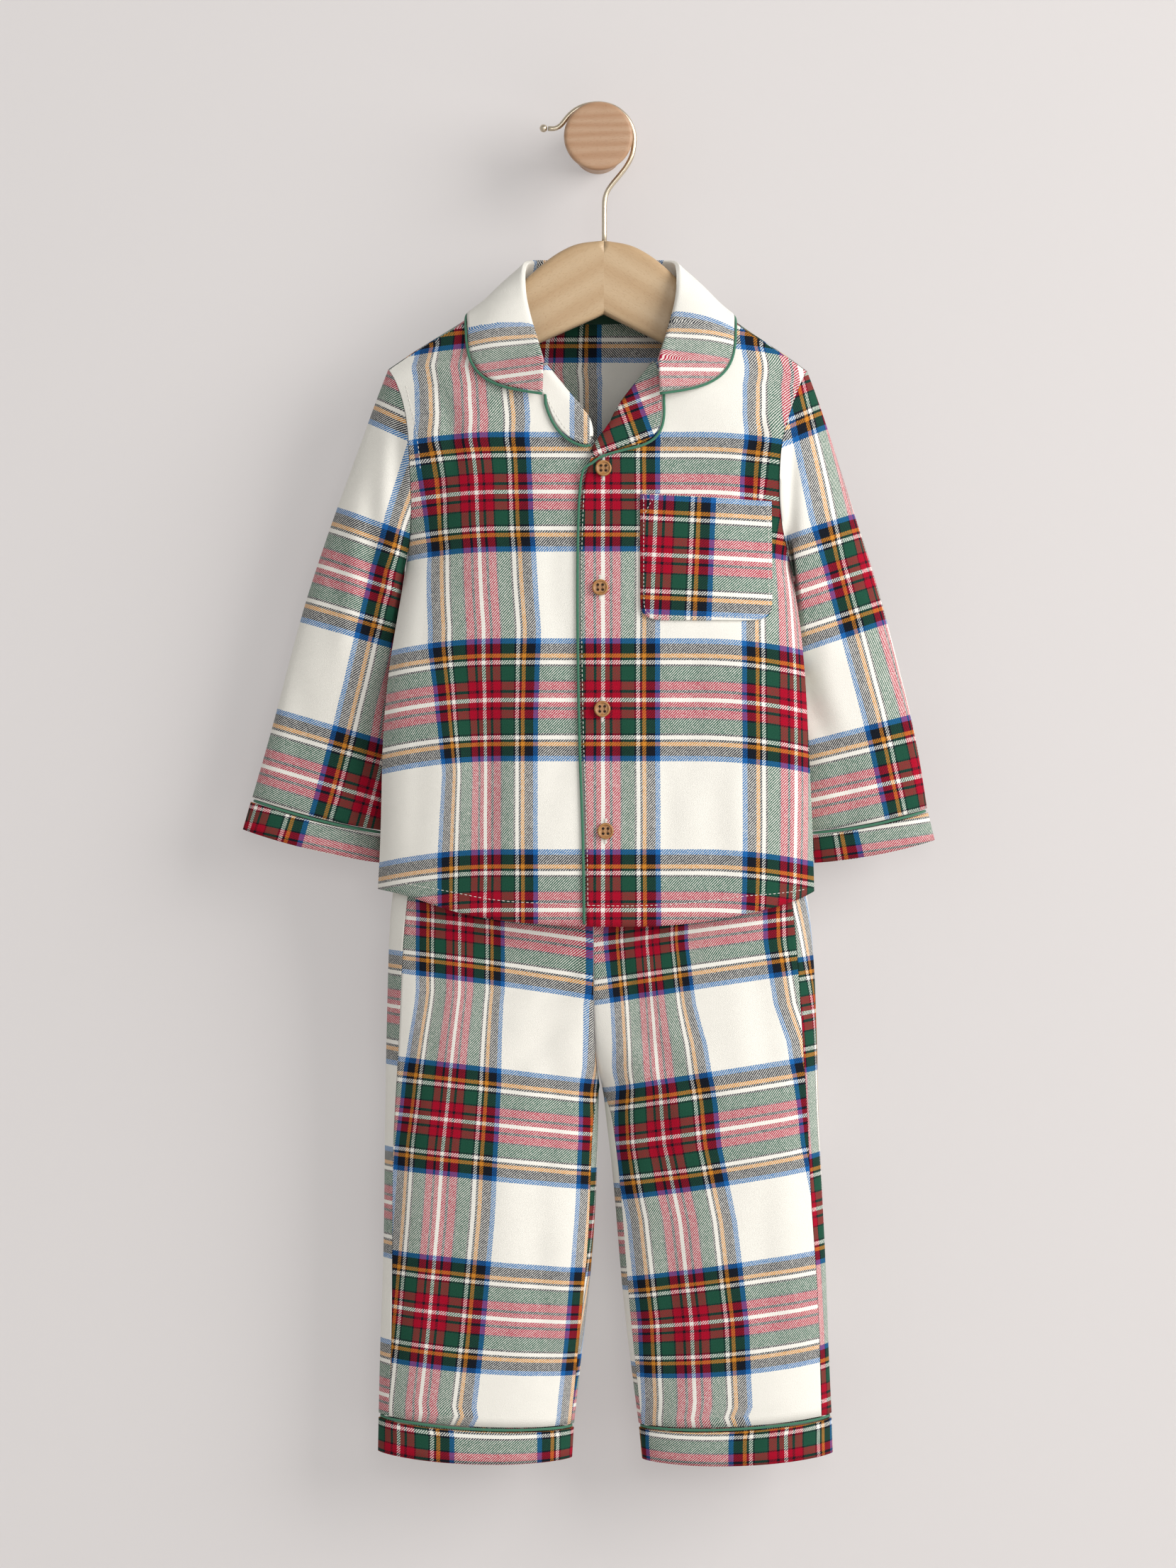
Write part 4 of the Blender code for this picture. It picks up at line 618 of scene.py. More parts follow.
class Tube:
    """The rings of a tube of cloth that hangs down at a slant."""

    def __init__(self, nodes, lean=0.0, uneven_end=0.0, uneven_start=0.0):
        self.down = np.array((math.sin(lean), 0.0, -math.cos(lean)))
        self.across = np.array((math.cos(lean), 0.0, math.sin(lean)))
        corners = np.concatenate([self.walls(node) for node in nodes])
        low, high = corners[:, :, 2].min(), corners[:, :, 2].max()
        low = low + LEVEL_GAP / 2 + uneven_start
        self.levels = np.arange(low, high - uneven_end, LEVEL_GAP)
        rings = [self.ring(corners, level) for level in self.levels]
        self.centres, self.halves, rounds = (np.array(column) for column in zip(*rings))
        self.rounds = evened(rounds)
        hops = np.linalg.norm(np.roll(self.rounds, -1, axis=1) - self.rounds, axis=2)
        self.lengths = np.concatenate((np.zeros((len(hops), 1)), np.cumsum(hops, axis=1)), axis=1)

    def local(self, points):
        """Turns points into across, depth and down."""
        return np.stack((points @ self.across, points[:, 1], points @ self.down), axis=-1)

    def walls(self, node):
        """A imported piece's triangles in the tube's frame, three corners each."""
        mesh = frame["nodes"][node].data
        mesh.calc_loop_triangles()
        order = numbers(mesh.loop_triangles, "vertices", 3)
        return self.local(points_of(frame["nodes"][node]))[order].reshape(-1, 3, 3)

    def cut(self, corners, level):
        """Cuts the walls at a level and gives close spots along the cut."""
        depths = corners[:, :, 2]
        crossing = corners[(depths.min(axis=1) < level) & (depths.max(axis=1) > level)]
        cuts = []
        for a, b in ((0, 1), (1, 2), (2, 0)):
            start, end = crossing[:, a], crossing[:, b]
            span = end[:, 2] - start[:, 2]
            safe = np.where(span == 0, 1, span)
            share = np.where(np.abs(span) > 1e-12, (level - start[:, 2]) / safe, -1)
            good = (share >= 0) & (share <= 1)
            spot = start + (end - start) * share[:, None]
            cuts.append(np.where(good[:, None], spot, np.nan)[:, :2])
        cuts = np.stack(cuts, axis=1)
        missing = np.where(np.isnan(cuts[:, :, 0]), 1, 0)
        pairs = np.sort(missing.argsort(axis=1)[:, :2], axis=1)
        ends = np.take_along_axis(cuts, pairs[:, :, None], axis=1)
        share = np.linspace(0, 1, SPOTS_A_CUT)[None, :, None]
        spots = (ends[:, :1] * (1 - share) + ends[:, 1:] * share).reshape(-1, 2)
        return spots[~np.isnan(spots).any(axis=1)]

    def ring(self, corners, level):
        """The line that runs round between the walls' faces at a level, with its middle and half
        its width and depth."""
        spots = self.cut(corners, level)
        centre = middle_of(spots)
        half = (spots.max(axis=0) - spots.min(axis=0)) / 2
        off = (spots - centre) / half
        turn = np.arctan2(off[:, 1], off[:, 0])
        slot = np.floor((turn + math.pi) / math.tau * RING_STEPS).astype(int) % RING_STEPS
        count = np.bincount(slot, minlength=RING_STEPS)
        full = count > 0
        steps = np.arange(RING_STEPS)
        mean = []
        for axis in (0, 1):
            total = np.bincount(slot, weights=spots[:, axis], minlength=RING_STEPS)
            known = total[full] / count[full]
            mean.append(np.interp(steps, steps[full], known, period=RING_STEPS))
        return centre, half, np.stack(mean, axis=-1)

    def read(self, points):
        """Gives points in the tube's own frame, how far off its middle they lie as a share of its
        half width and half depth, and a function that reads a table of the rings at them."""
        spots = self.local(points)
        level = np.clip((spots[:, 2] - self.levels[0]) / LEVEL_GAP, 0, len(self.levels) - 1.001)
        low = level.astype(int)
        share = level - low

        def mix(values):
            part = share.reshape((-1,) + (1,) * (values.ndim - 1))
            return values[low] * (1 - part) + values[low + 1] * part

        return spots, (spots[:, :2] - mix(self.centres)) / mix(self.halves), mix

    def place(self, points, zero, face="front"):
        """Gives each point's length round from where across is zero on a face, its length down,
        and how long its ring is."""
        spots, off, mix = self.read(points)
        turn = (np.arctan2(off[:, 1], off[:, 0]) + math.pi) / math.tau * RING_STEPS - 0.5
        turn = turn % RING_STEPS
        step = turn.astype(int)
        part = turn - step
        ring_lengths = mix(self.lengths)
        rows = np.arange(len(points))
        length = ring_lengths[rows, step] * (1 - part) + ring_lengths[rows, step + 1] * part
        whole = ring_lengths[:, -1]
        start = mix(np.array([self.start(i, zero, face) for i in range(len(self.levels))]))
        return (length - start + whole / 2) % whole - whole / 2, spots[:, 2], whole

    def facing(self, points):
        """Gives how much each point faces front and back, and how far it is from the sides."""
        _, off, _ = self.read(points)
        lean = -off[:, 1] / np.maximum(np.linalg.norm(off, axis=1), 1e-9)
        inside = smooth_step(SIDE_START, SIDE_END, 1 - np.abs(off[:, 0]))
        return np.clip(lean, 0, 1), np.clip(-lean, 0, 1), inside

    def start(self, index, zero, face):
        """The length round a ring at which its front or back crosses the zero line."""
        way, length = self.rounds[index], self.lengths[index]
        half = RING_STEPS // 2
        rows = slice(0, half) if face == "front" else slice(half, RING_STEPS)
        order = np.argsort(way[rows, 0])
        return np.interp(zero, way[rows, 0][order], length[:-1][rows][order])


print("rings of", RING_STEPS, "steps every", round(LEVEL_GAP / MM), "mm")

# %% [markdown]
# ## The grain map
#
# The two lengths become a UV map in metres, named grain. Its zero is moved so that a stripe's
# middle falls where that piece of cloth was cut. A face that lies across the start of a ring
# has one corner a whole turn away from the others, so each face's corners are brought
# together first.


# %% Write a grain map
def write_grain(thing, across, down, whole=None):
    """Writes each point's place on the flat cloth as a UV map, and notes the map's extent."""
    mesh = thing.data
    corner_points = numbers(mesh.loops, "vertex_index")
    u = across[corner_points]
    if whole is not None:
        first, sizes = (numbers(mesh.polygons, field) for field in ("loop_start", "loop_total"))
        lead = np.repeat(u[first], sizes)
        turn = whole[corner_points]
        u = u + np.round((lead - u) / turn) * turn
    layer = mesh.uv_layers.new(name="grain")
    grain = np.stack((u, down[corner_points]), axis=-1)
    layer.data.foreach_set("uv", grain.astype(np.float32).ravel())
    thing["cut_wide"] = float(u.max() - u.min())
    thing["cut_long"] = float(down.max() - down.min())
    return thing


def mesh_area(thing):
    """The whole area of a mesh, with both of its faces."""
    return sum(face.area for face in thing.data.polygons)


def smooth_step(low, high, at):
    """Rises smoothly from 0 at low to 1 at high."""
    share = np.clip((at - low) / (high - low), 0.0, 1.0)
    return share * share * (3 - 2 * share)


print("grain maps are in metres")

# %% [markdown]
# ## Creases
#
# Brushed cotton takes soft, shallow creases from being folded and hung. Each one here is listed:
# where it starts and ends, how wide it is and how deep. A trough lifts the cloth a little on both
# sides of itself. The same push moves a wall's outer and inner face, and whatever is sewn to it,
# which keeps them together.

# %% Crease tables, in millimetres
FRONT_CREASES = (
    # start x and z, end x and z, width, depth (a ridge has a minus), bow
    (-104, -150, -88, -212, 5.5, 1.7, 5),
    (-118, -178, -96, -236, 4.0, 1.2, 4),
    (-98, -232, -108, -330, 6.5, 1.1, -4),
    (-52, -205, -60, -300, 8.0, 0.9, 3),
    (-28, -230, -22, -330, 7.0, 0.8, -3),
    (-84, -335, -70, -440, 9.0, 1.2, 5),
    (-46, -350, -52, -470, 8.0, -0.8, -4),
    (-18, -300, -30, -420, 7.0, 0.8, 4),
    (-112, -360, -116, -455, 7.0, 0.9, 3),
    (106, -168, 92, -240, 5.0, 1.6, -5),
    (98, -300, 106, -400, 8.0, 1.1, 4),
    (62, -310, 56, -410, 7.5, 0.9, -4),
    (26, -235, 20, -320, 6.0, 0.6, 2),
    (34, -345, 40, -455, 8.0, 1.0, 5),
    (84, -385, 92, -470, 7.0, -0.9, -3),
    (116, -330, 122, -440, 6.0, 0.9, 3),
    (8, -360, 14, -428, 5.0, 0.5, 2),
)
BACK_CREASES = (
    (-100, -150, -84, -226, 6.0, 1.6, 5),
    (98, -156, 84, -232, 6.0, 1.5, -5),
    (-70, -240, -78, -400, 9.0, 1.4, 6),
    (-30, -190, -24, -330, 8.0, 1.1, -5),
    (22, -210, 30, -360, 9.0, 1.2, 5),
    (66, -250, 74, -420, 8.0, 1.3, -6),
    (-104, -300, -110, -440, 7.0, 1.0, 4),
    (104, -290, 112, -430, 7.0, 1.1, -4),
    (-8, -340, 4, -470, 9.0, 1.2, 5),
    (44, -370, 50, -470, 7.0, -0.9, 3),
)


BANK_AWAY, BANK_HEIGHT = 2.0, 0.35  # a trough's banks, as shares of its width and depth


def crease_push(creases, x, z):
    """How far the creases push the cloth in, at points given in metres."""
    x, z = x / MM, z / MM
    push = np.zeros_like(x)
    for x1, z1, x2, z2, width, depth, bow in creases:
        way = np.array((x2 - x1, z2 - z1))
        reach = np.hypot(*way)
        way = way / reach
        along = ((x - x1) * way[0] + (z - z1) * way[1]) / reach
        side = (x - x1) * -way[1] + (z - z1) * way[0]
        side = side - bow * 4 * np.clip(along, 0, 1) * (1 - np.clip(along, 0, 1))
        fade = smooth_step(-0.15, 0.3, along) * (1 - smooth_step(0.7, 1.15, along))
        trough = np.exp(-((side / width) ** 2))
        banks = np.exp(-(((np.abs(side) - BANK_AWAY * width) / width) ** 2))
        push += depth * fade * (trough - BANK_HEIGHT * banks)
    return push * MM


SWELL_SIZE, SWELL_HEIGHT = 62.0 * MM, 0.9 * MM
SEED_STEP = (7.3, 3.1, 1.7)  # how far apart the noise of two seeds lies
SWELL_DEPTH = 0.2  # how much depth counts, so that front and back swell nearly alike


def swell(points, seed):
    """A slow, low rise and fall, as no hung cloth is quite even."""
    offset = Vector([seed * step for step in SEED_STEP])
    return np.array([
        noise.noise(Vector((x, y * SWELL_DEPTH, z)) / SWELL_SIZE + offset) for x, y, z in points
    ]) * SWELL_HEIGHT


print("creases:", len(FRONT_CREASES), "front", len(BACK_CREASES), "back")

# %% [markdown]
# ## Into the cloth
#
# A front crease pushes only what faces front, and a back crease only what faces back. Near the
# sides both fade out, so the seams there stay closed. Over the hanger the cloth is stretched
# and stays smooth. What lies flat on the front, such as the pocket, takes the front's push
# whole.

# %% Crumple a piece
SMOOTH_ABOVE, LOOSE_BELOW = -0.150, -0.190


def crumple(thing, tube, front, back, seed, face=None):
    """Pushes creases and swell into a piece. A face of front treats all of it as front."""
    points = points_of(thing)
    to_front, to_back, inside = tube.facing(points)
    if face == "front":
        to_front, to_back = np.ones_like(inside), np.zeros_like(inside)
    slow = swell(points, seed) * smooth_step(SMOOTH_ABOVE, LOOSE_BELOW, points[:, 2])
    push = (crease_push(front, points[:, 0], points[:, 2]) + slow) * to_front
    push -= (crease_push(back, points[:, 0], points[:, 2]) + slow) * to_back
    points[:, 1] += push * inside
    set_points(thing, points)
    return thing


print("smooth above", round(SMOOTH_ABOVE / MM), "mm, loose below", round(LOOSE_BELOW / MM), "mm")

# %% [markdown]
#
# Each finished piece gets its material and joins the root body, and the imported piece it stands
# for is hidden. A sheet of cloth gets the brushed check.


# %% Finish a piece
def finish_piece(thing, node=None, material=None):
    """Gives a finished piece its material and its body, and hides the node it stands for."""
    if material is not None:
        thing.data.materials.clear()
        thing.data.materials.append(material)
    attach(thing, "root")
    if node:
        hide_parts(node)
    return thing


def finish_cloth(thing, node, *rests_on, held="hung", slot="tartan_cloth"):
    """Finishes a sheet of cloth with the brushed check. What it rests on is not used."""
    finish_piece(thing, node, CHECK)


# %% [markdown]
# ## The shirt's body
#
# Two fronts lap at the middle and one back passes over the shoulders. The three make one tube,
# so they share one set of rings. Each was cut from the cloth where the cutter's marker put it,
# so each has its own start on the check. Towards the armholes the weft lines droop, because
# the cloth hangs from the shoulders.

# %% Fronts and back
SHIRT = Tube(("front_right", "front_left", "back"), uneven_end=26 * MM)
WEFT_MIDDLE, BACK_WEFT_MIDDLE = 0.2217, 0.1003
HUNG_REPEAT = 0.1270  # a repeat down the hung shirt, which is longer than on flat cloth
WEFT_SCALE = REPEAT / HUNG_REPEAT
# Height, and how far the weft has dropped there, in millimetres.
SHIRT_DROP = ((-490, 2.5), (-450, 2.5), (-355, 1.2), (-300, 0.0))
DROOP, DROOP_START, DROOP_WIDTH = 0.0062, 0.060, 0.065
SHIRT_SEED = 1
GATHER_REACH = 0.035  # how far from its zero the warp is drawn closer
OVER_RIDGE = -0.19  # the back's front strip lies above this height


def shirt_droop(points):
    """How far the weft droops towards the armholes."""
    return DROOP * (np.maximum(np.abs(points[:, 0]) - DROOP_START, 0) / DROOP_WIDTH) ** 2


def lean_in(z, table):
    """Reads how far the warp stripes have swung sideways at a height."""
    heights, shifts = zip(*sorted(table))
    return np.interp(z / MM, heights, shifts) * MM


RIDGE_HALF, RIDGE_STEP, RIDGE_REACH = 0.128, 0.004, 0.003


class Ridge:
    """The highest line of the back, where it passes over the hanger."""

    def __init__(self, points):
        self.columns = np.arange(-RIDGE_HALF, RIDGE_HALF + 0.0001, RIDGE_STEP)
        rows = []
        for x in self.columns:
            near = points[np.abs(points[:, 0] - x) < RIDGE_REACH]
            rows.append(near[np.argmax(near[:, 2])])
        self.crest = np.array(rows)

    def height(self, x):
        """The ridge's height at some places across."""
        return np.interp(x, self.columns, self.crest[:, 2])

    def in_front(self, points):
        """Whether each point lies on the viewer's side of the ridge."""
        return points[:, 1] < np.interp(points[:, 0], self.columns, self.crest[:, 1])


def draw_in(across, z, gather):
    """Draws the warp closer at some heights, on the left and on the right of its zero."""
    steps, left, right = (np.array(column, dtype=float) for column in zip(*sorted(gather)))
    share = np.where(across < 0, np.interp(z / MM, steps, left), np.interp(z / MM, steps, right))
    return across + share * np.clip(across, -GATHER_REACH, GATHER_REACH)


def shirt_panel(name, node, levels, zero, face, swing, weft_middle, gather=((0, 0, 0),)):
    """A panel of the shirt, with its grain and its creases. Swing and gather are tables by
    height. The part of the back that comes over the ridge counts its length on from there."""
    made = soft_copy(name, node, levels)
    points = points_of(made)
    across, down, _ = SHIRT.place(points, zero, face)
    across = across + lean_in(points[:, 2], swing)
    across = draw_in(across, points[:, 2], gather)
    if face == "back":
        ridge = Ridge(points)
        over = -2 * ridge.height(points[:, 0]) + points[:, 2]
        down = np.where(ridge.in_front(points) & (points[:, 2] > OVER_RIDGE), over, down)
    down = down - shirt_droop(points) - lean_in(points[:, 2], SHIRT_DROP) - weft_middle
    write_grain(made, across, down * WEFT_SCALE)
    return crumple(made, SHIRT, FRONT_CREASES, BACK_CREASES, SHIRT_SEED)


def lie_on_front(thing):
    """Creases a piece that lies on the shirt's front just as the front itself."""
    return crumple(thing, SHIRT, FRONT_CREASES, BACK_CREASES, SHIRT_SEED, face="front")


front_right = shirt_panel(
    "shirt_front_right", "front_right", 3, -0.0688, "front",
    ((-155, 8.8), (-223, 5.5), (-303, 1.0), (-400, -0.3), (-475, -0.3)), WEFT_MIDDLE,
    ((-315, 0, 0), (-350, 0.14, 0.05), (-394, 0.32, 0.08), (-446, 0.18, 0.08)),
)
front_left = shirt_panel(
    "shirt_front_left", "front_left", 3, 0.0027, "front", ((-155, 0.0), (-475, 0.0)), WEFT_MIDDLE,
)
shirt_back = shirt_panel(
    "shirt_back", "back", 2, -0.0323, "back", ((-155, 0.0), (-475, 0.0)), BACK_WEFT_MIDDLE,
)
finish_cloth(front_right, "front_right", "hanger_right")
finish_cloth(front_left, "front_left", "hanger_left")
finish_cloth(shirt_back, "back", "hanger_right", "hanger_left")

# %% [markdown]
# ## Sleeves and cuff bands
#
# A sleeve is one piece of cloth, sewn into a tube along the inside of the arm, so the check
# runs on without a break round the outside fold. It hangs a little outward, and its grain
# leans with it. The band at the cuff is cut from another part of the check.

# %% Sleeves
SLEEVE_FRONT_CREASES = (
    (-124, -178, -131, -250, 4.5, 1.9, 3), (-140, -215, -147, -330, 7.0, 3.0, 3),
    (-160, -236, -176, -310, 8.0, 1.0, 5),
    (-140, -300, -150, -372, 7.0, 0.9, -4), (-186, -330, -190, -400, 7.0, 0.9, 3),
    (-128, -290, -140, -330, 4.5, 1.1, 2), (-158, -380, -164, -440, 6.5, 0.8, -3),
    (119.5, -182, 118.5, -262, 3.4, 2.0, 0), (146, -250, 160, -322, 8.0, 1.1, -5),
    (127, -312, 142, -376, 7.0, 2.4, -4), (182, -330, 186, -402, 6.5, 0.8, 3),
    (150, -386, 154, -444, 6.5, 0.8, 3),
)
SLEEVE_BACK_CREASES = (
    (-132, -220, -150, -300, 7.5, 1.4, 4), (-160, -300, -176, -390, 8.0, 1.2, -5),
    (-138, -340, -142, -420, 6.5, 1.0, 3), (134, -214, 152, -300, 7.5, 1.4, -4),
    (160, -312, 172, -396, 8.0, 1.2, 5), (138, -330, 144, -424, 6.5, 1.0, -3),
)
LEAN = {"right": -math.radians(16.2), "left": math.radians(14.5)}
HALF_BAND = 0.0344  # about half of a coloured band
# Where across a warp band's edge lies on each sleeve, and how far down a weft band's middle.
SLEEVE_EDGE = {"right": -0.0547, "left": 0.0695}
SLEEVE_WEFT = 0.3060
SLEEVE_SEED = {"right": 9, "left": 8}
# Distance down the sleeve, how far its warp swings, how far its weft slips, and how much
# more its weft slants than the sleeve's end does. All but the slant are in millimetres.
SLEEVE_HANG = {
    "right": ((200, 7, 0, 0.19), (262, 7, 1.0, 0.08), (300, 5.6, 1.2, 0.04), (335, 4, 3.0, 0),
              (370, 2.3, 0.5, 0), (400, 1, 0, 0), (440, 0, 0.6, 0), (458, 0, 1.6, 0)),
    "left": ((200, -1.1, 0, -0.19), (262, 1.7, 0.8, -0.07), (338, 1.5, 3.4, -0.075),
             (394, 1.5, 1.0, 0.005), (440, 3.1, 0.2, 0.04), (456, 3.5, 2.6, 0)),
}
# The cuff bands: the slant of their weft, the place of its middle line, how close its rows
# lie, and the place of the outer edge of a warp band.
CUFFS = {
    "right": (-math.radians(12.4), 0.4706, 1.14, -0.0538),
    "left": (math.radians(8.2), 0.4663, 1.18, 0.0484),
}


def hung_sleeve(name, side, tube):
    """A sleeve whose check swings and slants as its cloth hangs."""
    made = soft_copy(name, f"sleeve_{side}", 3)
    across, down, whole = tube.place(points_of(made), SLEEVE_EDGE[side])
    steps, swing, slip, slant = (np.array(column) for column in zip(*SLEEVE_HANG[side]))
    at = down / MM
    side_way = tube.local(points_of(made))[:, 0] - tube.centres[:, 0].mean()
    slipped = down + np.interp(at, steps, slip) * MM - np.interp(at, steps, slant) * side_way
    across = across - HALF_BAND + np.interp(at, steps, swing) * MM
    return write_grain(made, across, (slipped - SLEEVE_WEFT) * WEFT_SCALE, whole)


def cuff_band(name, side, tube):
    """A cuff band, whose rows of weft run along its seam."""
    made = soft_copy(name, f"sleeve_band_{side}", 2)
    points = points_of(made)
    slant, middle, close, edge = CUFFS[side]
    across, _, whole = tube.place(points, edge)
    down = points[:, 0] * math.sin(slant) - points[:, 2] * math.cos(slant)
    return write_grain(made, across + HALF_BAND, (down - middle) * close, whole)


for side in ("right", "left"):
    arm = Tube((f"sleeve_{side}", f"sleeve_band_{side}"), LEAN[side], 30 * MM, 118 * MM)
    sleeve = hung_sleeve(f"shirt_sleeve_{side}", side, arm)
    crumple(sleeve, arm, SLEEVE_FRONT_CREASES, SLEEVE_BACK_CREASES, SLEEVE_SEED[side])
    finish_cloth(sleeve, f"sleeve_{side}", f"shirt_front_{side}")
    band = cuff_band(f"cuff_band_{side}", side, arm)
    finish_cloth(band, f"sleeve_band_{side}", f"shirt_sleeve_{side}", slot="band_cloth")

# %% [markdown]
# ## The trousers
#
# Each leg is a front and a back, joined down the outside a little round on the front and down
# the inside, with a hem band sewn on below a line of piping. The weft lines sag in the
# middle of the cloth and towards the crotch, where the weight hangs from the waist.

# %% Trouser legs
LEG_FRONT_CREASES = (
    (-6, -500, -44, -545, 6.0, 1.5, 3), (-12, -520, -66, -590, 8.0, 1.4, 6),
    (-30, -560, -38, -660, 8.0, 1.4, 5), (-96, -500, -104, -590, 8.0, 1.2, -4),
    (-60, -610, -66, -720, 10.0, -1.0, 4), (-34, -660, -30, -770, 8.0, 1.4, -4),
    (-96, -640, -102, -760, 9.0, 1.2, 5), (-118, -560, -120, -640, 5.0, 0.9, 2),
    (6, -500, 40, -548, 6.0, 1.4, -3), (14, -530, 74, -604, 8.0, 1.5, -6),
    (36, -570, 42, -664, 8.0, 1.4, -5), (92, -505, 104, -590, 8.0, 1.1, 4),
    (66, -620, 76, -720, 10.0, -1.0, -4), (40, -670, 44, -776, 8.0, 1.4, 4),
    (104, -640, 112, -756, 9.0, 1.2, -5), (124, -560, 128, -650, 5.0, 0.9, -2),
)
LEG_BACK_CREASES = (
    (-10, -470, -56, -540, 8.0, 1.6, 5), (-20, -530, -70, -612, 9.0, 1.4, 6),
    (-86, -500, -96, -620, 9.0, 1.2, -5), (-44, -620, -50, -760, 10.0, 1.4, 5),
    (-98, -650, -104, -770, 9.0, 1.1, 4), (12, -474, 60, -544, 8.0, 1.5, -5),
    (24, -536, 76, -616, 9.0, 1.4, -6), (90, -500, 102, -622, 9.0, 1.2, 5),
    (52, -626, 60, -764, 10.0, 1.4, -5), (108, -650, 116, -770, 9.0, 1.1, -4),
)
# Height, and how far the weft sags there in the middle of a leg and at its inner edge.
SAG = {
    "right": ((-387, 0, 0), (-430, 2, 5), (-470, 4, 11), (-510, 5, 14), (-564, 6, 14.5),
              (-620, 6.5, 14), (-700, 6.5, 12), (-745, 7, 10.5), (-791, 6.5, 6.5),
              (-815, 6.3, 4.0)),
    "left": ((-387, 0, 0), (-430, 3, 6), (-470, 5.5, 13), (-510, 7, 17), (-564, 8.5, 19.5),
             (-620, 11, 20), (-660, 10, 20), (-700, 8.5, 17), (-745, 8.5, 12), (-791, 7.5, 6.5),
             (-815, 6.3, 4.0)),
}
# Heights, and how far the weft sags at a leg's outer edge. It rises there.
OUTER_LIFT = ((-590, -545, -430, -400), (0.0, -3.0, -3.0, 0.0))
SAG_ROUNDS = 3
LEG_SEED = 9


def leg_sag(points, tube, side):
    """How far the weft has sagged at each point, from the outer edge to the inner."""
    spots = tube.local(points)
    level = np.clip(spots[:, 2], tube.levels[0], tube.levels[-1])
    centre = np.interp(level, tube.levels, tube.centres[:, 0])
    half = np.interp(level, tube.levels, tube.halves[:, 0])
    share = (spots[:, 0] - centre) / half
    share = np.clip((share if side == "right" else -share) / 2 + 0.5, 0, 1)
    height = points[:, 2] / MM
    sag = np.zeros_like(height)
    steps, middles, inners = zip(*sorted(SAG[side]))
    outer = np.interp(height, *OUTER_LIFT) * (1 - share) ** 2
    for _ in range(SAG_ROUNDS):
        middle = np.interp(height + sag, steps, middles)
        inner = np.interp(height + sag, steps, inners)
        sag = inner * share**2 + 4 * (middle - inner / 4) * share * (1 - share) + outer
    return sag * MM


def leg_piece(name, node, tube, side, zero, face, swing, weft_middle, gather=((0, 0, 0),)):
    """The front or the back of a leg, with its grain and its creases."""
    made = soft_copy(name, node, 3)
    points = points_of(made)
    across, down, _ = tube.place(points, zero, face)
    across = draw_in(across + lean_in(points[:, 2], swing), points[:, 2], gather)
    down = down - leg_sag(points, tube, side)
    write_grain(made, across, down - weft_middle)
    return crumple(made, tube, LEG_FRONT_CREASES, LEG_BACK_CREASES, LEG_SEED)


# A zero is where across a warp band's middle lies, and a weft is how far down a weft band's
# middle lies, both in metres.
LEG_ZERO = {"right": -0.0960, "left": 0.0470}
LEG_WEFT = 0.4855
# Height, and how far the warp has swung there, in millimetres.
LEG_SWING = {
    "right": ((-529, -11.0), (-571, -6.0), (-628, -0.4), (-671, 2.7), (-741, 8.8), (-786, 13.6),
              (-812, 15.8)),
    "left": ((-498, 17.0), (-550, 12.7), (-624, 5.8), (-671, -3.8), (-735, -11.2),
             (-785, -13.3), (-812, -10.8)),
}
# Height, and how much closer the warp lies there on the left and on the right of its zero.
LEG_GATHER = {
    "right": ((-470, 0.26, 0.26), (-537, 0.26, 0.26), (-575, 0.15, 0.12), (-620, 0.1, 0.04),
              (-660, 0.1, 0), (-790, 0.1, 0)),
    "left": ((-460, 0.38, 0.38), (-498, 0.38, 0.38), (-537, 0.40, 0.28), (-560, 0.35, 0.10),
             (-600, 0.12, 0), (-650, 0, 0)),
}
BACK_LEG_ZERO = {"right": -0.0830, "left": 0.0700}
BACK_LEG_WEFT = {"right": 0.4220, "left": 0.4255}
BACK_LEG_SWING = {
    "right": ((-400, 0.0), (-800, 0.0)), "left": ((-430, 0.0), (-544, -10.0), (-740, -18.0)),
}
HEM_ZERO = {"right": -0.1222, "left": 0.1149}
HEM_WEFT, WAIST_WEFT = 0.8185, 0.4255

for side in ("right", "left"):
    leg = Tube((f"front_leg_{side}", f"back_leg_{side}", f"leg_band_{side}"), 0.0, 12 * MM)
    front = leg_piece(
        f"trouser_front_{side}", f"front_leg_{side}", leg, side, LEG_ZERO[side], "front",
        LEG_SWING[side], LEG_WEFT, LEG_GATHER[side],
    )
    back = leg_piece(
        f"trouser_back_{side}", f"back_leg_{side}", leg, side, BACK_LEG_ZERO[side], "back",
        BACK_LEG_SWING[side], BACK_LEG_WEFT[side],
    )
    finish_cloth(front, f"front_leg_{side}", "trouser_waistband")
    finish_cloth(back, f"back_leg_{side}", "trouser_waistband")
    band = soft_copy(f"hem_band_{side}", f"leg_band_{side}", 2)
    points = points_of(band)
    across, down, whole = leg.place(points, HEM_ZERO[side])
    write_grain(band, across, down - leg_sag(points, leg, side) - HEM_WEFT, whole)
    finish_cloth(band, f"leg_band_{side}", f"trouser_front_{side}", slot="band_cloth")

waist = Tube(["waistband"])
waistband = soft_copy("trouser_waistband", "waistband", 2)
across, down, whole = waist.place(points_of(waistband), 0.0)
write_grain(waistband, across, down - WAIST_WEFT, whole)
finish_cloth(waistband, "waistband", "shirt_back", held="gathered")

# %% [markdown]
# ## The collar
#
# The collar was cut crosswise, so the warp stripes run across it, from the crease to the
# edge. Its map follows two lines: how far along its spine a point lies, and how far it is
# from the crease.


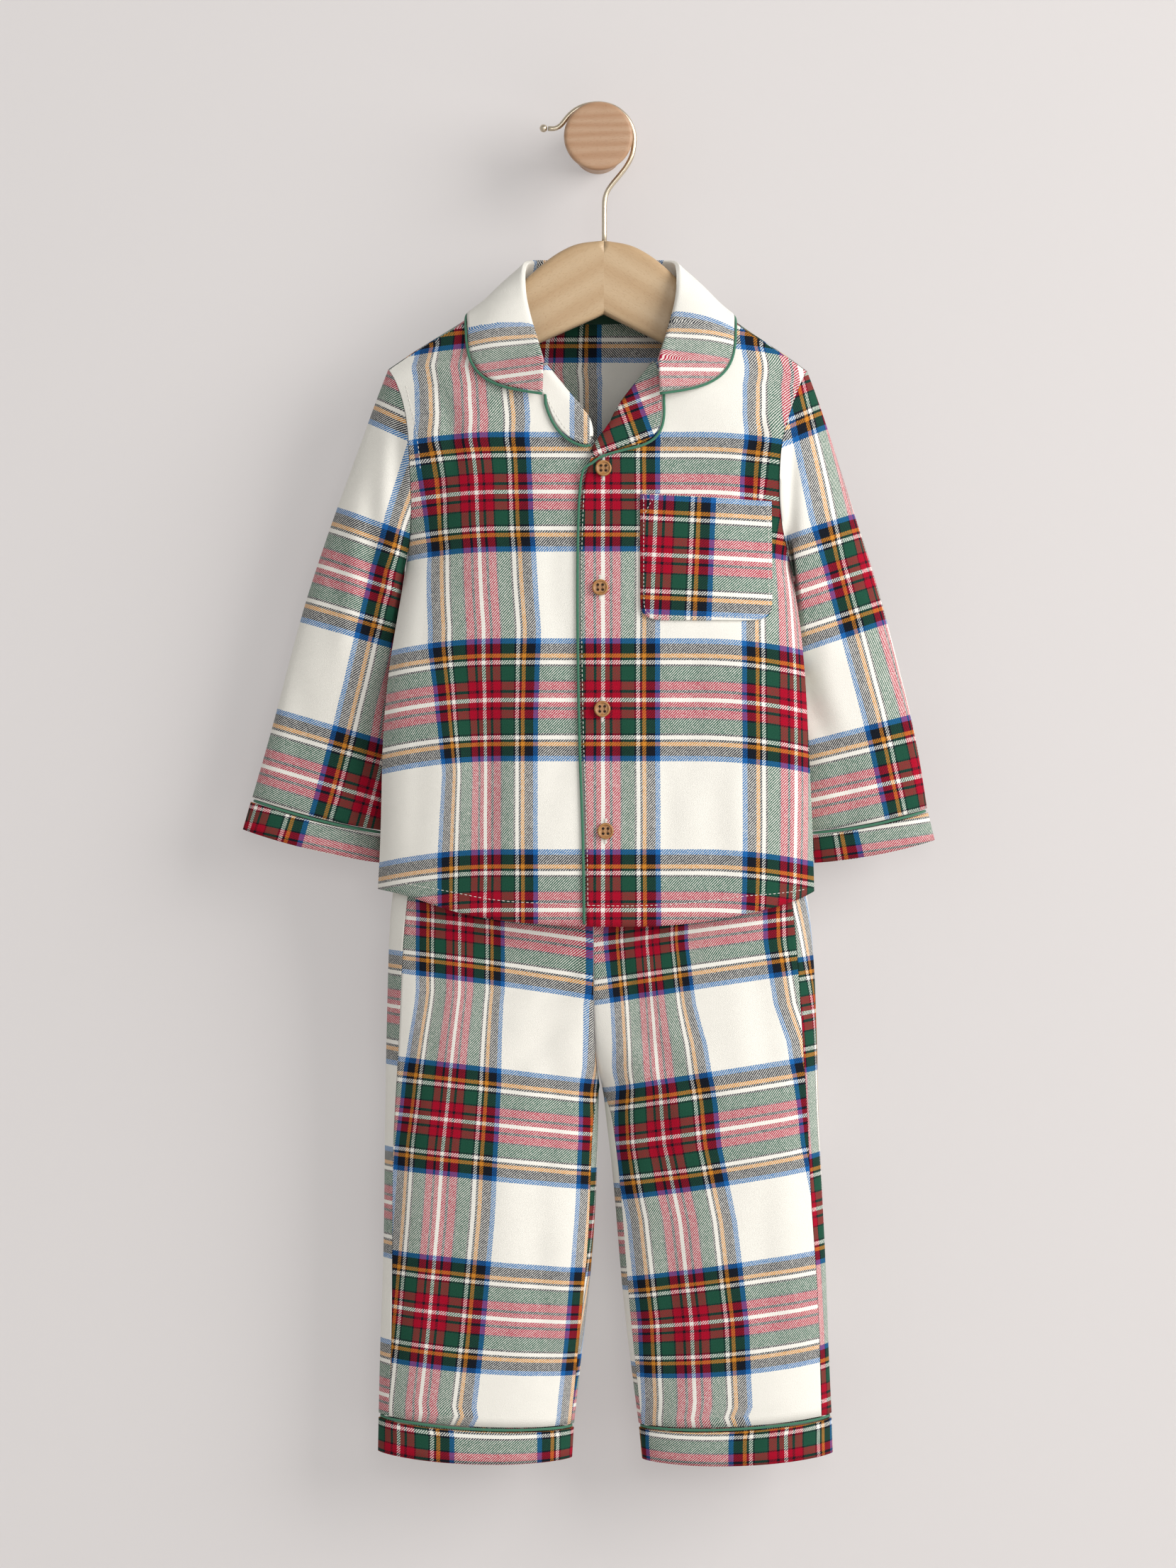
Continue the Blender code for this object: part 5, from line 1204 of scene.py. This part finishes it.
# %% Collar
COLLAR_SPINE = (
    (-60.2, -86, -160), (-61.2, -80, -140), (-62.0, -70, -119), (-60.0, -58, -103),
    (-55.0, -45, -96), (-42.0, -35, -96), (-22.0, -28, -97), (1.6, -25, -97), (25.2, -28, -97),
    (45.2, -35, -96), (58.2, -45, -96), (62.6, -58, -103), (60.6, -70, -119),
    (60.0, -80, -140), (61.8, -86, -160),
)
MIDDLE_X = 1.6  # the middle of the collar and the shirt, in millimetres
HALF_CREASE = (
    (-33.9, -83.4, -142.2), (-38.0, -75.5, -127.0), (-43.0, -70.0, -110.0), (-46.0, -63.5, -86.6),
    (-42.0, -43.5, -76.2), (-34.0, -33.0, -74.8), (-18.0, -26.0, -74.6),
)
# How far from each end of the collar a warp band's middle lies, and the place in the stripe
# list of the blue stripe's edge, which lies on the crease.
STRIPE_UP = {"right": 0.0097, "left": 0.0144}
BLUE_EDGE = 0.0346
# Away from a height in metres, over a range, the map moves by up to a tilt each way.
TILT_MIDDLE, TILT_RANGE, TILT = -0.130, 0.030, 0.0024


def mirrored(line):
    """The same line on the other side of the shirt's middle, in millimetres."""
    return [(2 * MIDDLE_X - x, *rest) for x, *rest in line]


def reach_along(line):
    """How far along a line each of its own points lies, from 0."""
    spans = np.linalg.norm(np.diff(line, axis=0), axis=1)
    return np.concatenate(((0.0,), np.cumsum(spans)))


def along_line(points, line):
    """How far along a line each point lies, and how far from it."""
    line = np.array(line) * MM
    starts, ways = line[:-1], np.diff(line, axis=0)
    spans = np.linalg.norm(ways, axis=1)
    before = reach_along(line)
    best = np.full(len(points), np.inf)
    place = np.zeros(len(points))
    for i, (start, way, span) in enumerate(zip(starts, ways, spans)):
        low = -np.inf if i == 0 else 0.0
        high = np.inf if i == len(starts) - 1 else 1.0
        share = np.clip((points - start) @ way / span**2, low, high)
        off = np.linalg.norm(points - start - share[:, None] * way, axis=1)
        closer = off < best
        best = np.where(closer, off, best)
        place = np.where(closer, before[i] + share * span, place)
    return place, best, before[-1]


crease = (*HALF_CREASE, (MIDDLE_X, -23.6, -75.0), *mirrored(HALF_CREASE)[::-1])
collar = soft_copy("shirt_collar", "collar", 2)
points = points_of(collar)
along, _, total = along_line(points, COLLAR_SPINE)
_, from_crease, _ = along_line(points, crease)
right_half = along < total / 2
across = np.where(right_half, along - STRIPE_UP["right"], total - along - STRIPE_UP["left"])
tilt = np.clip((TILT_MIDDLE - points[:, 2]) / TILT_RANGE, -1, 1) * TILT
write_grain(collar, -across, from_crease + BLUE_EDGE - tilt)
finish_cloth(collar, "collar", "shirt_front_right", "shirt_front_left", held="folded")
print("collar area", round(mesh_area(collar) / 2, 4), "long", round(total / MM))

# %% [markdown]
# ## Lapels and pocket
#
# A lapel is the top of the front's facing, turned outward, so its check shows from the other
# side and runs the other way. The left one's grain leans. The patch pocket is cut so that a
# blue stripe lies along its top. All three lie on the front and take its creases.

# %% Lapels and pocket
def flat_piece(name, node, slope, middle_x, middle_down, twist=1.0, scale=1.0):
    """A piece that lies flat on the front, with its grain leaning by a slope in degrees. A
    twist of -1 shows the cloth from its other side."""
    made = soft_copy(name, node, 2)
    points = points_of(made)
    turn = math.radians(slope)
    across = points[:, 0] * math.cos(turn) + points[:, 2] * math.sin(turn)
    down = points[:, 0] * math.sin(turn) - points[:, 2] * math.cos(turn)
    write_grain(made, (across - middle_x) * twist * scale, (down - middle_down) * scale)
    return lie_on_front(made)


POCKET_SCALE = 34.5 / 36.6  # spreads the pocket's check, nearly as the hung shirt's is spread
lapel_right = flat_piece("shirt_lapel_right", "lapel_right", 0, 0.0169, 0.2310, twist=-1.0)
lapel_left = flat_piece("shirt_lapel_left", "lapel_left", 20, -0.0665, 0.1640, twist=-1.0)
pocket = flat_piece(
    "shirt_pocket", "chest_pocket", -2.4, 0.0450, 0.2590, scale=POCKET_SCALE
)
finish_cloth(lapel_right, "lapel_right", "shirt_front_right", held="folded")
finish_cloth(lapel_left, "lapel_left", "shirt_front_left", held="folded")
finish_cloth(pocket, "chest_pocket", "shirt_front_left", held="laid")

# %% [markdown]
# ## Piping and neck tape
#
# Piping is a green bias strip folded round a cord and caught in a seam. It follows the
# collar's edge, both lapels, the front edge, and the seams above the cuff and hem bands.

# %% Piping and tape
PIPED = (
    ("collar_piping", 2), ("lapel_piping", 2), ("front_piping", 2), ("sleeve_piping_right", 1),
    ("sleeve_piping_left", 1), ("leg_piping_right", 1), ("leg_piping_left", 1),
)
TUCK, TUCKED = 4.2 * MM, 1.5 * MM  # how far a strip's end goes in under the collar
for node, levels in PIPED:
    strip = soft_copy("green_" + node, node, levels, rim_angle=math.radians(80))
    if node in ("lapel_piping", "front_piping"):
        points = points_of(strip)
        points[points[:, 2] > points[:, 2].max() - TUCKED, 2] += TUCK
        set_points(strip, points)
        lie_on_front(strip)
    finish_piece(strip, node, PIPING_GREEN)
tape = soft_copy("green_neck_tape", "neck_tape", 2)
finish_piece(tape, "neck_tape", TAPE_GREEN)
print("piped seams", len(PIPED))

# %% [markdown]
# ## Hanger, hook, knob and buttons
#
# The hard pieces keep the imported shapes. The hanger's halves get a rounder edge than the
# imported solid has, and meet at the mitre, and the knob and the ball get a smoother turn. A
# button's four holes are spread a little further apart.

# %% Hard pieces
MITRE, MITRE_REACH = 3.4 * MM, 0.6 * MM  # corners this near the mitre are set on it
for side in ("right", "left"):
    half = soft_copy(f"beech_half_{side}", f"hanger_{side}", 1, rim_angle=math.radians(35))
    points = points_of(half)
    points[np.abs(points[:, 0] - MITRE) < MITRE_REACH, 0] = MITRE
    set_points(half, points)
    finish_piece(half, f"hanger_{side}", BEECH[side])
for name, node, levels, slot, finish in (
    ("hook_wire", "hook", 1, "hook_metal", WIRE), ("hook_end", "hook_ball", 1, "hook_metal", WIRE),
    ("pine_knob", "wall_knob", 2, "pine", PINE),
):
    finish_piece(soft_copy(name, node, levels), node, finish)
# A button's holes are spread apart, less and less between two distances from its middle.
SPREAD, SPREAD_START, SPREAD_END = 0.36, 2.4, 3.9
for i in range(1, 5):
    button = soft_copy(f"horn_button_{i}", f"button_{i}", 1, rim_angle=math.radians(40))
    points = points_of(button)
    middle = middle_of(points)
    off = points - middle
    reach = np.hypot(off[:, 0], off[:, 2]) / MM
    wider = 1 + SPREAD * (1 - smooth_step(SPREAD_START, SPREAD_END, reach))
    for axis in (0, 2):
        points[:, axis] = middle[axis] + off[:, axis] * wider
    set_points(button, points)
    lie_on_front(button)
    finish_piece(button, f"button_{i}", HORN)
    print(button.name, "at", [round(side / MM, 1) for side in middle_of(points_of(button))], "mm")

# %% [markdown]
# ## Stitches
#
# A sewing machine leaves a row of short, even dashes. Each row here starts as a line drawn
# over the cloth, dropped on to it from the front or from behind. Geometry Nodes then lays one
# thread after another along the line. The pitch, the length and the width of a dash are inputs
# of the group, so one group sews the hem, the pocket, the front edge and the buttonholes.

# %% Stitch group
UNEVEN_DASH = (0.86, 1.08)  # the shortest and the longest dash, as shares of its length


def dash_size(tree, given):
    """Half of a dash's width, height and length, with the length a little uneven."""
    shortest, longest = UNEVEN_DASH
    chance = put(
        tree, "FunctionNodeRandomValue", {"Seed": given["Seed"], 2: shortest, 3: longest},
        data_type="FLOAT",
    )
    uneven = calc(tree, "MULTIPLY", given["Length"], chance.outputs[1])
    sides = zip("XYZ", (given["Width"], given["Height"], uneven))
    half = {axis: calc(tree, "MULTIPLY", side, 0.5) for axis, side in sides}
    return put(tree, "ShaderNodeCombineXYZ", half).outputs[0]


def stitch_group():
    """Lays short threads along a line. Gives the group and the identifiers of its inputs."""
    tree, start, end = new_group(
        "sewn_row",
        (
            ("Geometry", "Geometry", None), ("Pitch", "Float", 2.9 * MM),
            ("Length", "Float", 2.0 * MM), ("Width", "Float", 0.42 * MM),
            ("Height", "Float", 0.40 * MM), ("Seed", "Int", 5), ("Thread", "Material", None),
        ),
        (("Geometry", "Geometry"),), "GeometryNodeTree",
    )
    given = start.outputs

    def step(kind, inputs=(), **settings):
        return put(tree, kind, inputs, **settings).outputs[0]

    line = step("GeometryNodeMeshToCurve", {"Mesh": given["Geometry"]})
    spaced = step(
        "GeometryNodeResampleCurve", {"Curve": line, "Length": given["Pitch"]}, mode="LENGTH"
    )
    way = step("GeometryNodeInputTangent")
    along = step("FunctionNodeAlignRotationToVector", {"Vector": way}, axis="Z")
    turned = step(
        "FunctionNodeAlignRotationToVector", {"Rotation": along, "Vector": (0.0, -1.0, 0.0)},
        axis="Y", pivot_axis="Z",
    )
    dash = step("GeometryNodeMeshUVSphere", {"Segments": 8, "Rings": 6, "Radius": 1.0})
    laid = step(
        "GeometryNodeInstanceOnPoints",
        {"Points": spaced, "Instance": dash, "Rotation": turned, "Scale": dash_size(tree, given)},
    )
    real = step("GeometryNodeRealizeInstances", {"Geometry": laid})
    soft = step("GeometryNodeSetShadeSmooth", {"Geometry": real})
    dyed = step("GeometryNodeSetMaterial", {"Geometry": soft, "Material": given["Thread"]})
    feed(tree, end, {0: dyed})
    sockets = [item for item in tree.interface.items_tree if item.in_out == "INPUT"]
    return tree, {socket.name: socket.identifier for socket in sockets}


SEWN_ROW, ROW_KEYS = stitch_group()
print("stitch inputs", list(ROW_KEYS))

# %% [markdown]
# ## Lay a row on the cloth
#
# A row is drawn as a flat path and filled with close points. A ray from each point finds the
# cloth, so the row follows every crease. It could be drawn in space by hand, but it would
# then float or sink as soon as a crease changed.

# %% Lay a row on the cloth
PATH_STEP = 1.2 * MM
THREAD_LIFT = 0.10 * MM
RAY_START, RAY_MIDDLE = 0.4, -0.05  # rays start this far in front or behind this depth
EDGE_REACH, EDGE_POINTS = 14, 6  # a hem's edge is the mean of a column's lowest points


def surface_of(names):
    """One search tree over the finished pieces that a row may lie on."""
    shape = bmesh.new()
    for name in names:
        shape.from_mesh(bpy.data.objects[name].data)
    tree = BVHTree.FromBMesh(shape)
    shape.free()
    return tree


def dropped(path, tree, face):
    """Fills a path of x and z in millimetres with close points, and drops them on the cloth."""
    path = np.array(path, dtype=float) * MM
    reach = reach_along(path)
    at = np.linspace(0, reach[-1], max(2, int(reach[-1] / PATH_STEP)))
    way = 1.0 if face == "front" else -1.0
    runs = [[]]
    for x, z in zip(np.interp(at, reach, path[:, 0]), np.interp(at, reach, path[:, 1])):
        hit = tree.ray_cast(Vector((x, RAY_MIDDLE - RAY_START * way, z)), Vector((0, way, 0)))[0]
        if hit is not None:
            runs[-1].append((x, hit.y - way * THREAD_LIFT, z))
        elif runs[-1]:
            runs.append([])
    return [run for run in runs if len(run) > 1]


def lay_threads(name, points, edges, thread, sizes):
    """Makes a piece of threads along some edges."""
    mesh = bpy.data.meshes.new(name)
    mesh.from_pydata(points, edges, [])
    row = as_object(name, mesh)
    lay = row.modifiers.new("lay", "NODES")
    lay.node_group = SEWN_ROW
    lay[ROW_KEYS["Thread"]] = thread
    for label, value in sizes.items():
        lay[ROW_KEYS[label.title()]] = value * MM
    baked(row)
    finish_piece(row)
    print(name, len(row.data.polygons), "faces")
    return row


def sew(name, paths, rests_on, face="front", slot="tartan_cloth", thread=None, **sizes):
    """Sews one or more paths on to finished pieces, as one piece of threads."""
    tree = surface_of(rests_on)
    points, edges = [], []
    for path in paths:
        for run in dropped(path, tree, face):
            first = len(points)
            points += run
            edges += [(first + i, first + i + 1) for i in range(len(run) - 1)]
    return lay_threads(name, points, edges, thread or WHITE_THREAD, sizes)


def outline(thing):
    """A flat piece's outline seen from the front, in millimetres, with its outward normals."""
    spots = np.unique(np.round(points_of(thing)[:, (0, 2)] / MM, 2), axis=0)
    ring = [spots[i] for i in convex_hull_2d([Vector(spot) for spot in spots])]
    ring = np.array(ring + ring[:1])
    reach = reach_along(ring)
    at = np.linspace(0, reach[-1], int(reach[-1]), endpoint=False)
    ring = np.stack([np.interp(at, reach, ring[:, axis]) for axis in (0, 1)], axis=-1)
    way = np.roll(ring, -3, axis=0) - np.roll(ring, 3, axis=0)
    way /= np.linalg.norm(way, axis=1)[:, None]
    out = np.stack((way[:, 1], -way[:, 0]), axis=-1)
    if np.mean(np.sum(out * (ring - ring.mean(axis=0)), axis=1)) < 0:
        out = -out
    return ring, out


def inset(thing, gap, wanted):
    """The part of a piece's outline that is wanted, drawn in by a gap."""
    ring, out = outline(thing)
    keep = wanted(out)
    drawn = ring - out * gap
    begin = next(i for i in range(len(keep)) if keep[i] and not keep[i - 1])
    order = [(begin + i) % len(keep) for i in range(len(keep))]
    return [tuple(drawn[i]) for i in order if keep[i]]


def lowest(node, xs):
    """The height of a piece's lower edge at some places across, in millimetres."""
    spots = points_of(frame["nodes"][node]) / MM
    low = []
    for x in xs:
        near = spots[np.abs(spots[:, 0] - x) < EDGE_REACH, 2]
        low.append(np.sort(near)[:EDGE_POINTS].mean())
    return np.array(low)


print("paths are filled every", round(PATH_STEP / MM, 1), "mm")

# %% [markdown]
# ## Sew the rows
#
# Rows show where a maker sews last and from outside: down the front edge beside the piping,
# round three sides of the pocket with small triangles at its corners, along the hem, beside
# the armholes and round the lapels. A row keeps a steady gap from its edge.

# %% Sew the rows
HEM_GAP, HEM_CLOSER = 13.0, 5.0  # from the hem's edge to its row, and how much less at the sides
HEM_SIDE_START, HEM_SIDE_END = 80, 132


def edge_row(piece, gap, top, bottom):
    """A row that runs down beside a piping, a gap away from it."""
    spots = points_of(bpy.data.objects[piece]) / MM
    heights = np.arange(top, bottom, -12.0)
    side = [spots[np.abs(spots[:, 2] - z) < 6][:, 0].max() + gap for z in heights]
    smooth = np.convolve(np.pad(side, 1, mode="edge"), (0.25, 0.5, 0.25), "valid")
    return list(zip(smooth, heights))


def hem_row(node, start, stop):
    """A row that follows the shirt's rounded hem, closer to it at the sides."""
    xs = np.arange(start, stop + 0.1, 6.0 if stop > start else -6.0)
    beyond = smooth_step(HEM_SIDE_START, HEM_SIDE_END, np.abs(xs))
    edge = np.polyval(np.polyfit(xs, lowest(node, xs), 4), xs)
    return list(zip(xs, edge + HEM_GAP - HEM_CLOSER * beyond))


def not_top(out):
    """Picks all of an outline but its top, from its outward normals."""
    return out[:, 1] < 0.5


def outer_edge(side):
    """Gives a picker of a lapel's outer edge."""
    way = 1 if side == "right" else -1
    return lambda out: (way * out[:, 0] < 0.25) & (out[:, 1] < 0.8)


POCKET_TACKS = (
    ((27.6, -226.4), (33.0, -226.6), (27.8, -236.5)),
    ((104.2, -229.4), (99.2, -229.2), (103.8, -239.0)),
)
sew("front_edge_stitches", [edge_row("green_front_piping", 1.6, -222, -480)], ["shirt_front_left"])
sew(
    "pocket_stitches", [inset(pocket, 2.2, not_top), *POCKET_TACKS], ["shirt_pocket"],
    pitch=2.5, length=1.7,
)
for side, start, stop in (("right", -128, -14), ("left", -6, 130)):
    row = hem_row(f"front_{side}", start, stop)
    sew(f"hem_stitches_{side}", [row], [f"shirt_front_{side}"])
sew("hem_stitches_back", [hem_row("back", -126, 128)], ["shirt_back"], "back")
ARMHOLE_ROW = ((-118.5, -156), (-116.7, -164.5), (-113.2, -178), (-110.8, -194.8), (-109.8, -206))
sew("armhole_stitches_right", [ARMHOLE_ROW], ["shirt_front_right"])
sew("armhole_stitches_left", [mirrored(ARMHOLE_ROW)], ["shirt_front_left"])
for side, lapel in (("right", lapel_right), ("left", lapel_left)):
    row = inset(lapel, 2.6, outer_edge(side))
    sew(f"lapel_stitches_{side}", [row], [f"shirt_lapel_{side}"])

# %% [markdown]
# ## Buttonholes and button thread
#
# A buttonhole is a slit bound by very close, wide stitches, here one dense row down behind each
# button. Near-black thread fills the four holes, as painted shade inside them together with the
# thread that passes through, and two bars of brown thread cross the dish between them. These are
# too small to draw on the cloth, so their lines are given in space.

# %% Buttonholes and button thread
# Near-black thread that paints the shade inside a button's holes, with the thread that passes
# through them.
HOLE_SHADE_THREAD = ribbed("hole_shade_thread", "2C1B0E", 0.5 * MM, 0.8, 0.08, 0.0)
BUTTON_THREAD = ribbed("brown_thread", "7E532A", 0.5 * MM, 0.7, 0.08, 0.0)
HOLE = 1.49  # how far each hole is from the button's middle, along x and along z
DISH = 0.75  # how deep the dish lies under the rim


def threads(name, lines, thread, slot, **sizes):
    """Threads along short lines of points given in metres."""
    points = [point for line in lines for point in line]
    first = np.cumsum([0] + [len(line) for line in lines])
    edges = [
        (int(i) + j, int(i) + j + 1) for i, line in zip(first, lines) for j in range(len(line) - 1)
    ]
    return lay_threads(name, points, edges, thread, sizes)


for i in range(1, 5):
    spots = points_of(bpy.data.objects[f"horn_button_{i}"])
    x, _, z = middle_of(spots) / MM
    dish = spots[:, 1].min() + DISH * MM
    sew(f"buttonhole_{i}", [[(x, z + 7.4), (x, z - 7.6)]], ["shirt_front_left"],
        pitch=0.45, length=0.5, width=2.1, height=0.7)
    # Each hole is filled with near-black thread: painted shade inside the hole, with the thread
    # that passes through.
    hole_shade_plugs = [
        [((x + a) * MM, dish + deep * MM, (z + b) * MM) for deep in (0.9, 0.3)]
        for a in (-HOLE, HOLE) for b in (-HOLE, HOLE)
    ]
    threads(f"button_plugs_{i}", hole_shade_plugs, HOLE_SHADE_THREAD, "button",
            pitch=0.3, length=1.0, width=1.6, height=1.6)
    bow = ((-HOLE, -0.1), (0, 0.15), (HOLE, -0.1))
    bars = [
        [((x + a) * MM, dish - lift * MM, (z + b) * MM) for b, lift in bow]
        for a in (-HOLE, HOLE)
    ]
    threads(f"button_thread_{i}", bars, BUTTON_THREAD, "button",
            pitch=0.3, length=0.7, width=0.42, height=0.42)

# %% [markdown]
# ## The room
#
# The knob is screwed to a pale wall. The wall is a stage piece: it takes the soft shadow of
# the clothes but isn't part of them. Its back lets light and sight through, so the set can
# also be looked at from behind. A pale floor lies well below.

# %% Wall, floor and light
WALL_TONE, WALL_PAINT, FLOOR_TONE = "D3D0CF", "AAA7A6", "D0CDCB"
WALL_GLOW = 0.45
FLOOR_DOWN = -1.35
WALL_BACK = 0.0004  # keeps the wall just behind the knob's flat back
SKY, SKY_STRENGTH = "F1EFED", 0.46


def stage_plane(name, size, place, turn, material):
    """A plane that belongs to the room and not to the part."""
    bpy.ops.mesh.primitive_plane_add(size=size, location=place, rotation=turn)
    plane = bpy.context.object
    plane.name = name
    plane.data.materials.append(material)
    return plane


def wall_paint():
    """Plain paint that is clear from behind, also to the light."""
    made, tree, shader = surface(
        "wall_paint", 0.95, base_color=colour(WALL_PAINT), emission_color=colour(WALL_TONE),
        emission_strength=WALL_GLOW, specular_ior_level=0.1,
    )
    behind = put(tree, "ShaderNodeNewGeometry").outputs["Backfacing"]
    shadow = put(tree, "ShaderNodeLightPath").outputs["Is Shadow Ray"]
    clear = calc(tree, "MAXIMUM", behind, shadow)
    see_through = put(tree, "ShaderNodeBsdfTransparent")
    mixed = put(
        tree, "ShaderNodeMixShader",
        {0: clear, 1: shader.outputs["BSDF"], 2: see_through.outputs["BSDF"]},
    )
    feed(tree, tree.nodes["Material Output"], {"Surface": mixed.outputs["Shader"]})
    return made


floor_paint, _, _ = surface("floor_paint", 0.9, base_color=colour(FLOOR_TONE))
stage_plane("wall", 9, (0, WALL_BACK, 1.2), (math.radians(90), 0, 0), wall_paint())
stage_plane("floor", 14, (0, 0, FLOOR_DOWN), (0, 0, 0), floor_paint)


def softbox(name, place, aim, size, power, tint):
    """An area light that faces a point."""
    light = bpy.data.lights.new(name, "AREA")
    light.shape, light.size, light.energy = "SQUARE", size, power
    light.color = colour(tint)[:3]
    lamp = as_object(name, light)
    lamp.location = place
    lamp.rotation_euler = (Vector(aim) - Vector(place)).to_track_quat("-Z", "Y").to_euler()


softbox("window_light", (2.4, -1.7, 0.6), (0, 0, -0.45), 2.0, 93, "FFFCFA")
softbox("fill_light", (-2.2, -2.6, 0.0), (0, 0, -0.45), 2.6, 6, "F6F8FF")
softbox("front_light", (0.3, -3.4, 0.1), (0, 0, -0.35), 1.0, 15, "FFFDFB")
softbox("back_light", (0.8, 2.2, 0.8), (0, 0, -0.45), 1.8, 26, "FFFAF4")
world = bpy.data.worlds.new("pale_room")
world.use_nodes = True
sky = world.node_tree.nodes["Background"].inputs
sky["Color"].default_value, sky["Strength"].default_value = colour(SKY), SKY_STRENGTH
bpy.context.scene.world = world
print("lamps", len(bpy.data.lights), "and a pale sky")
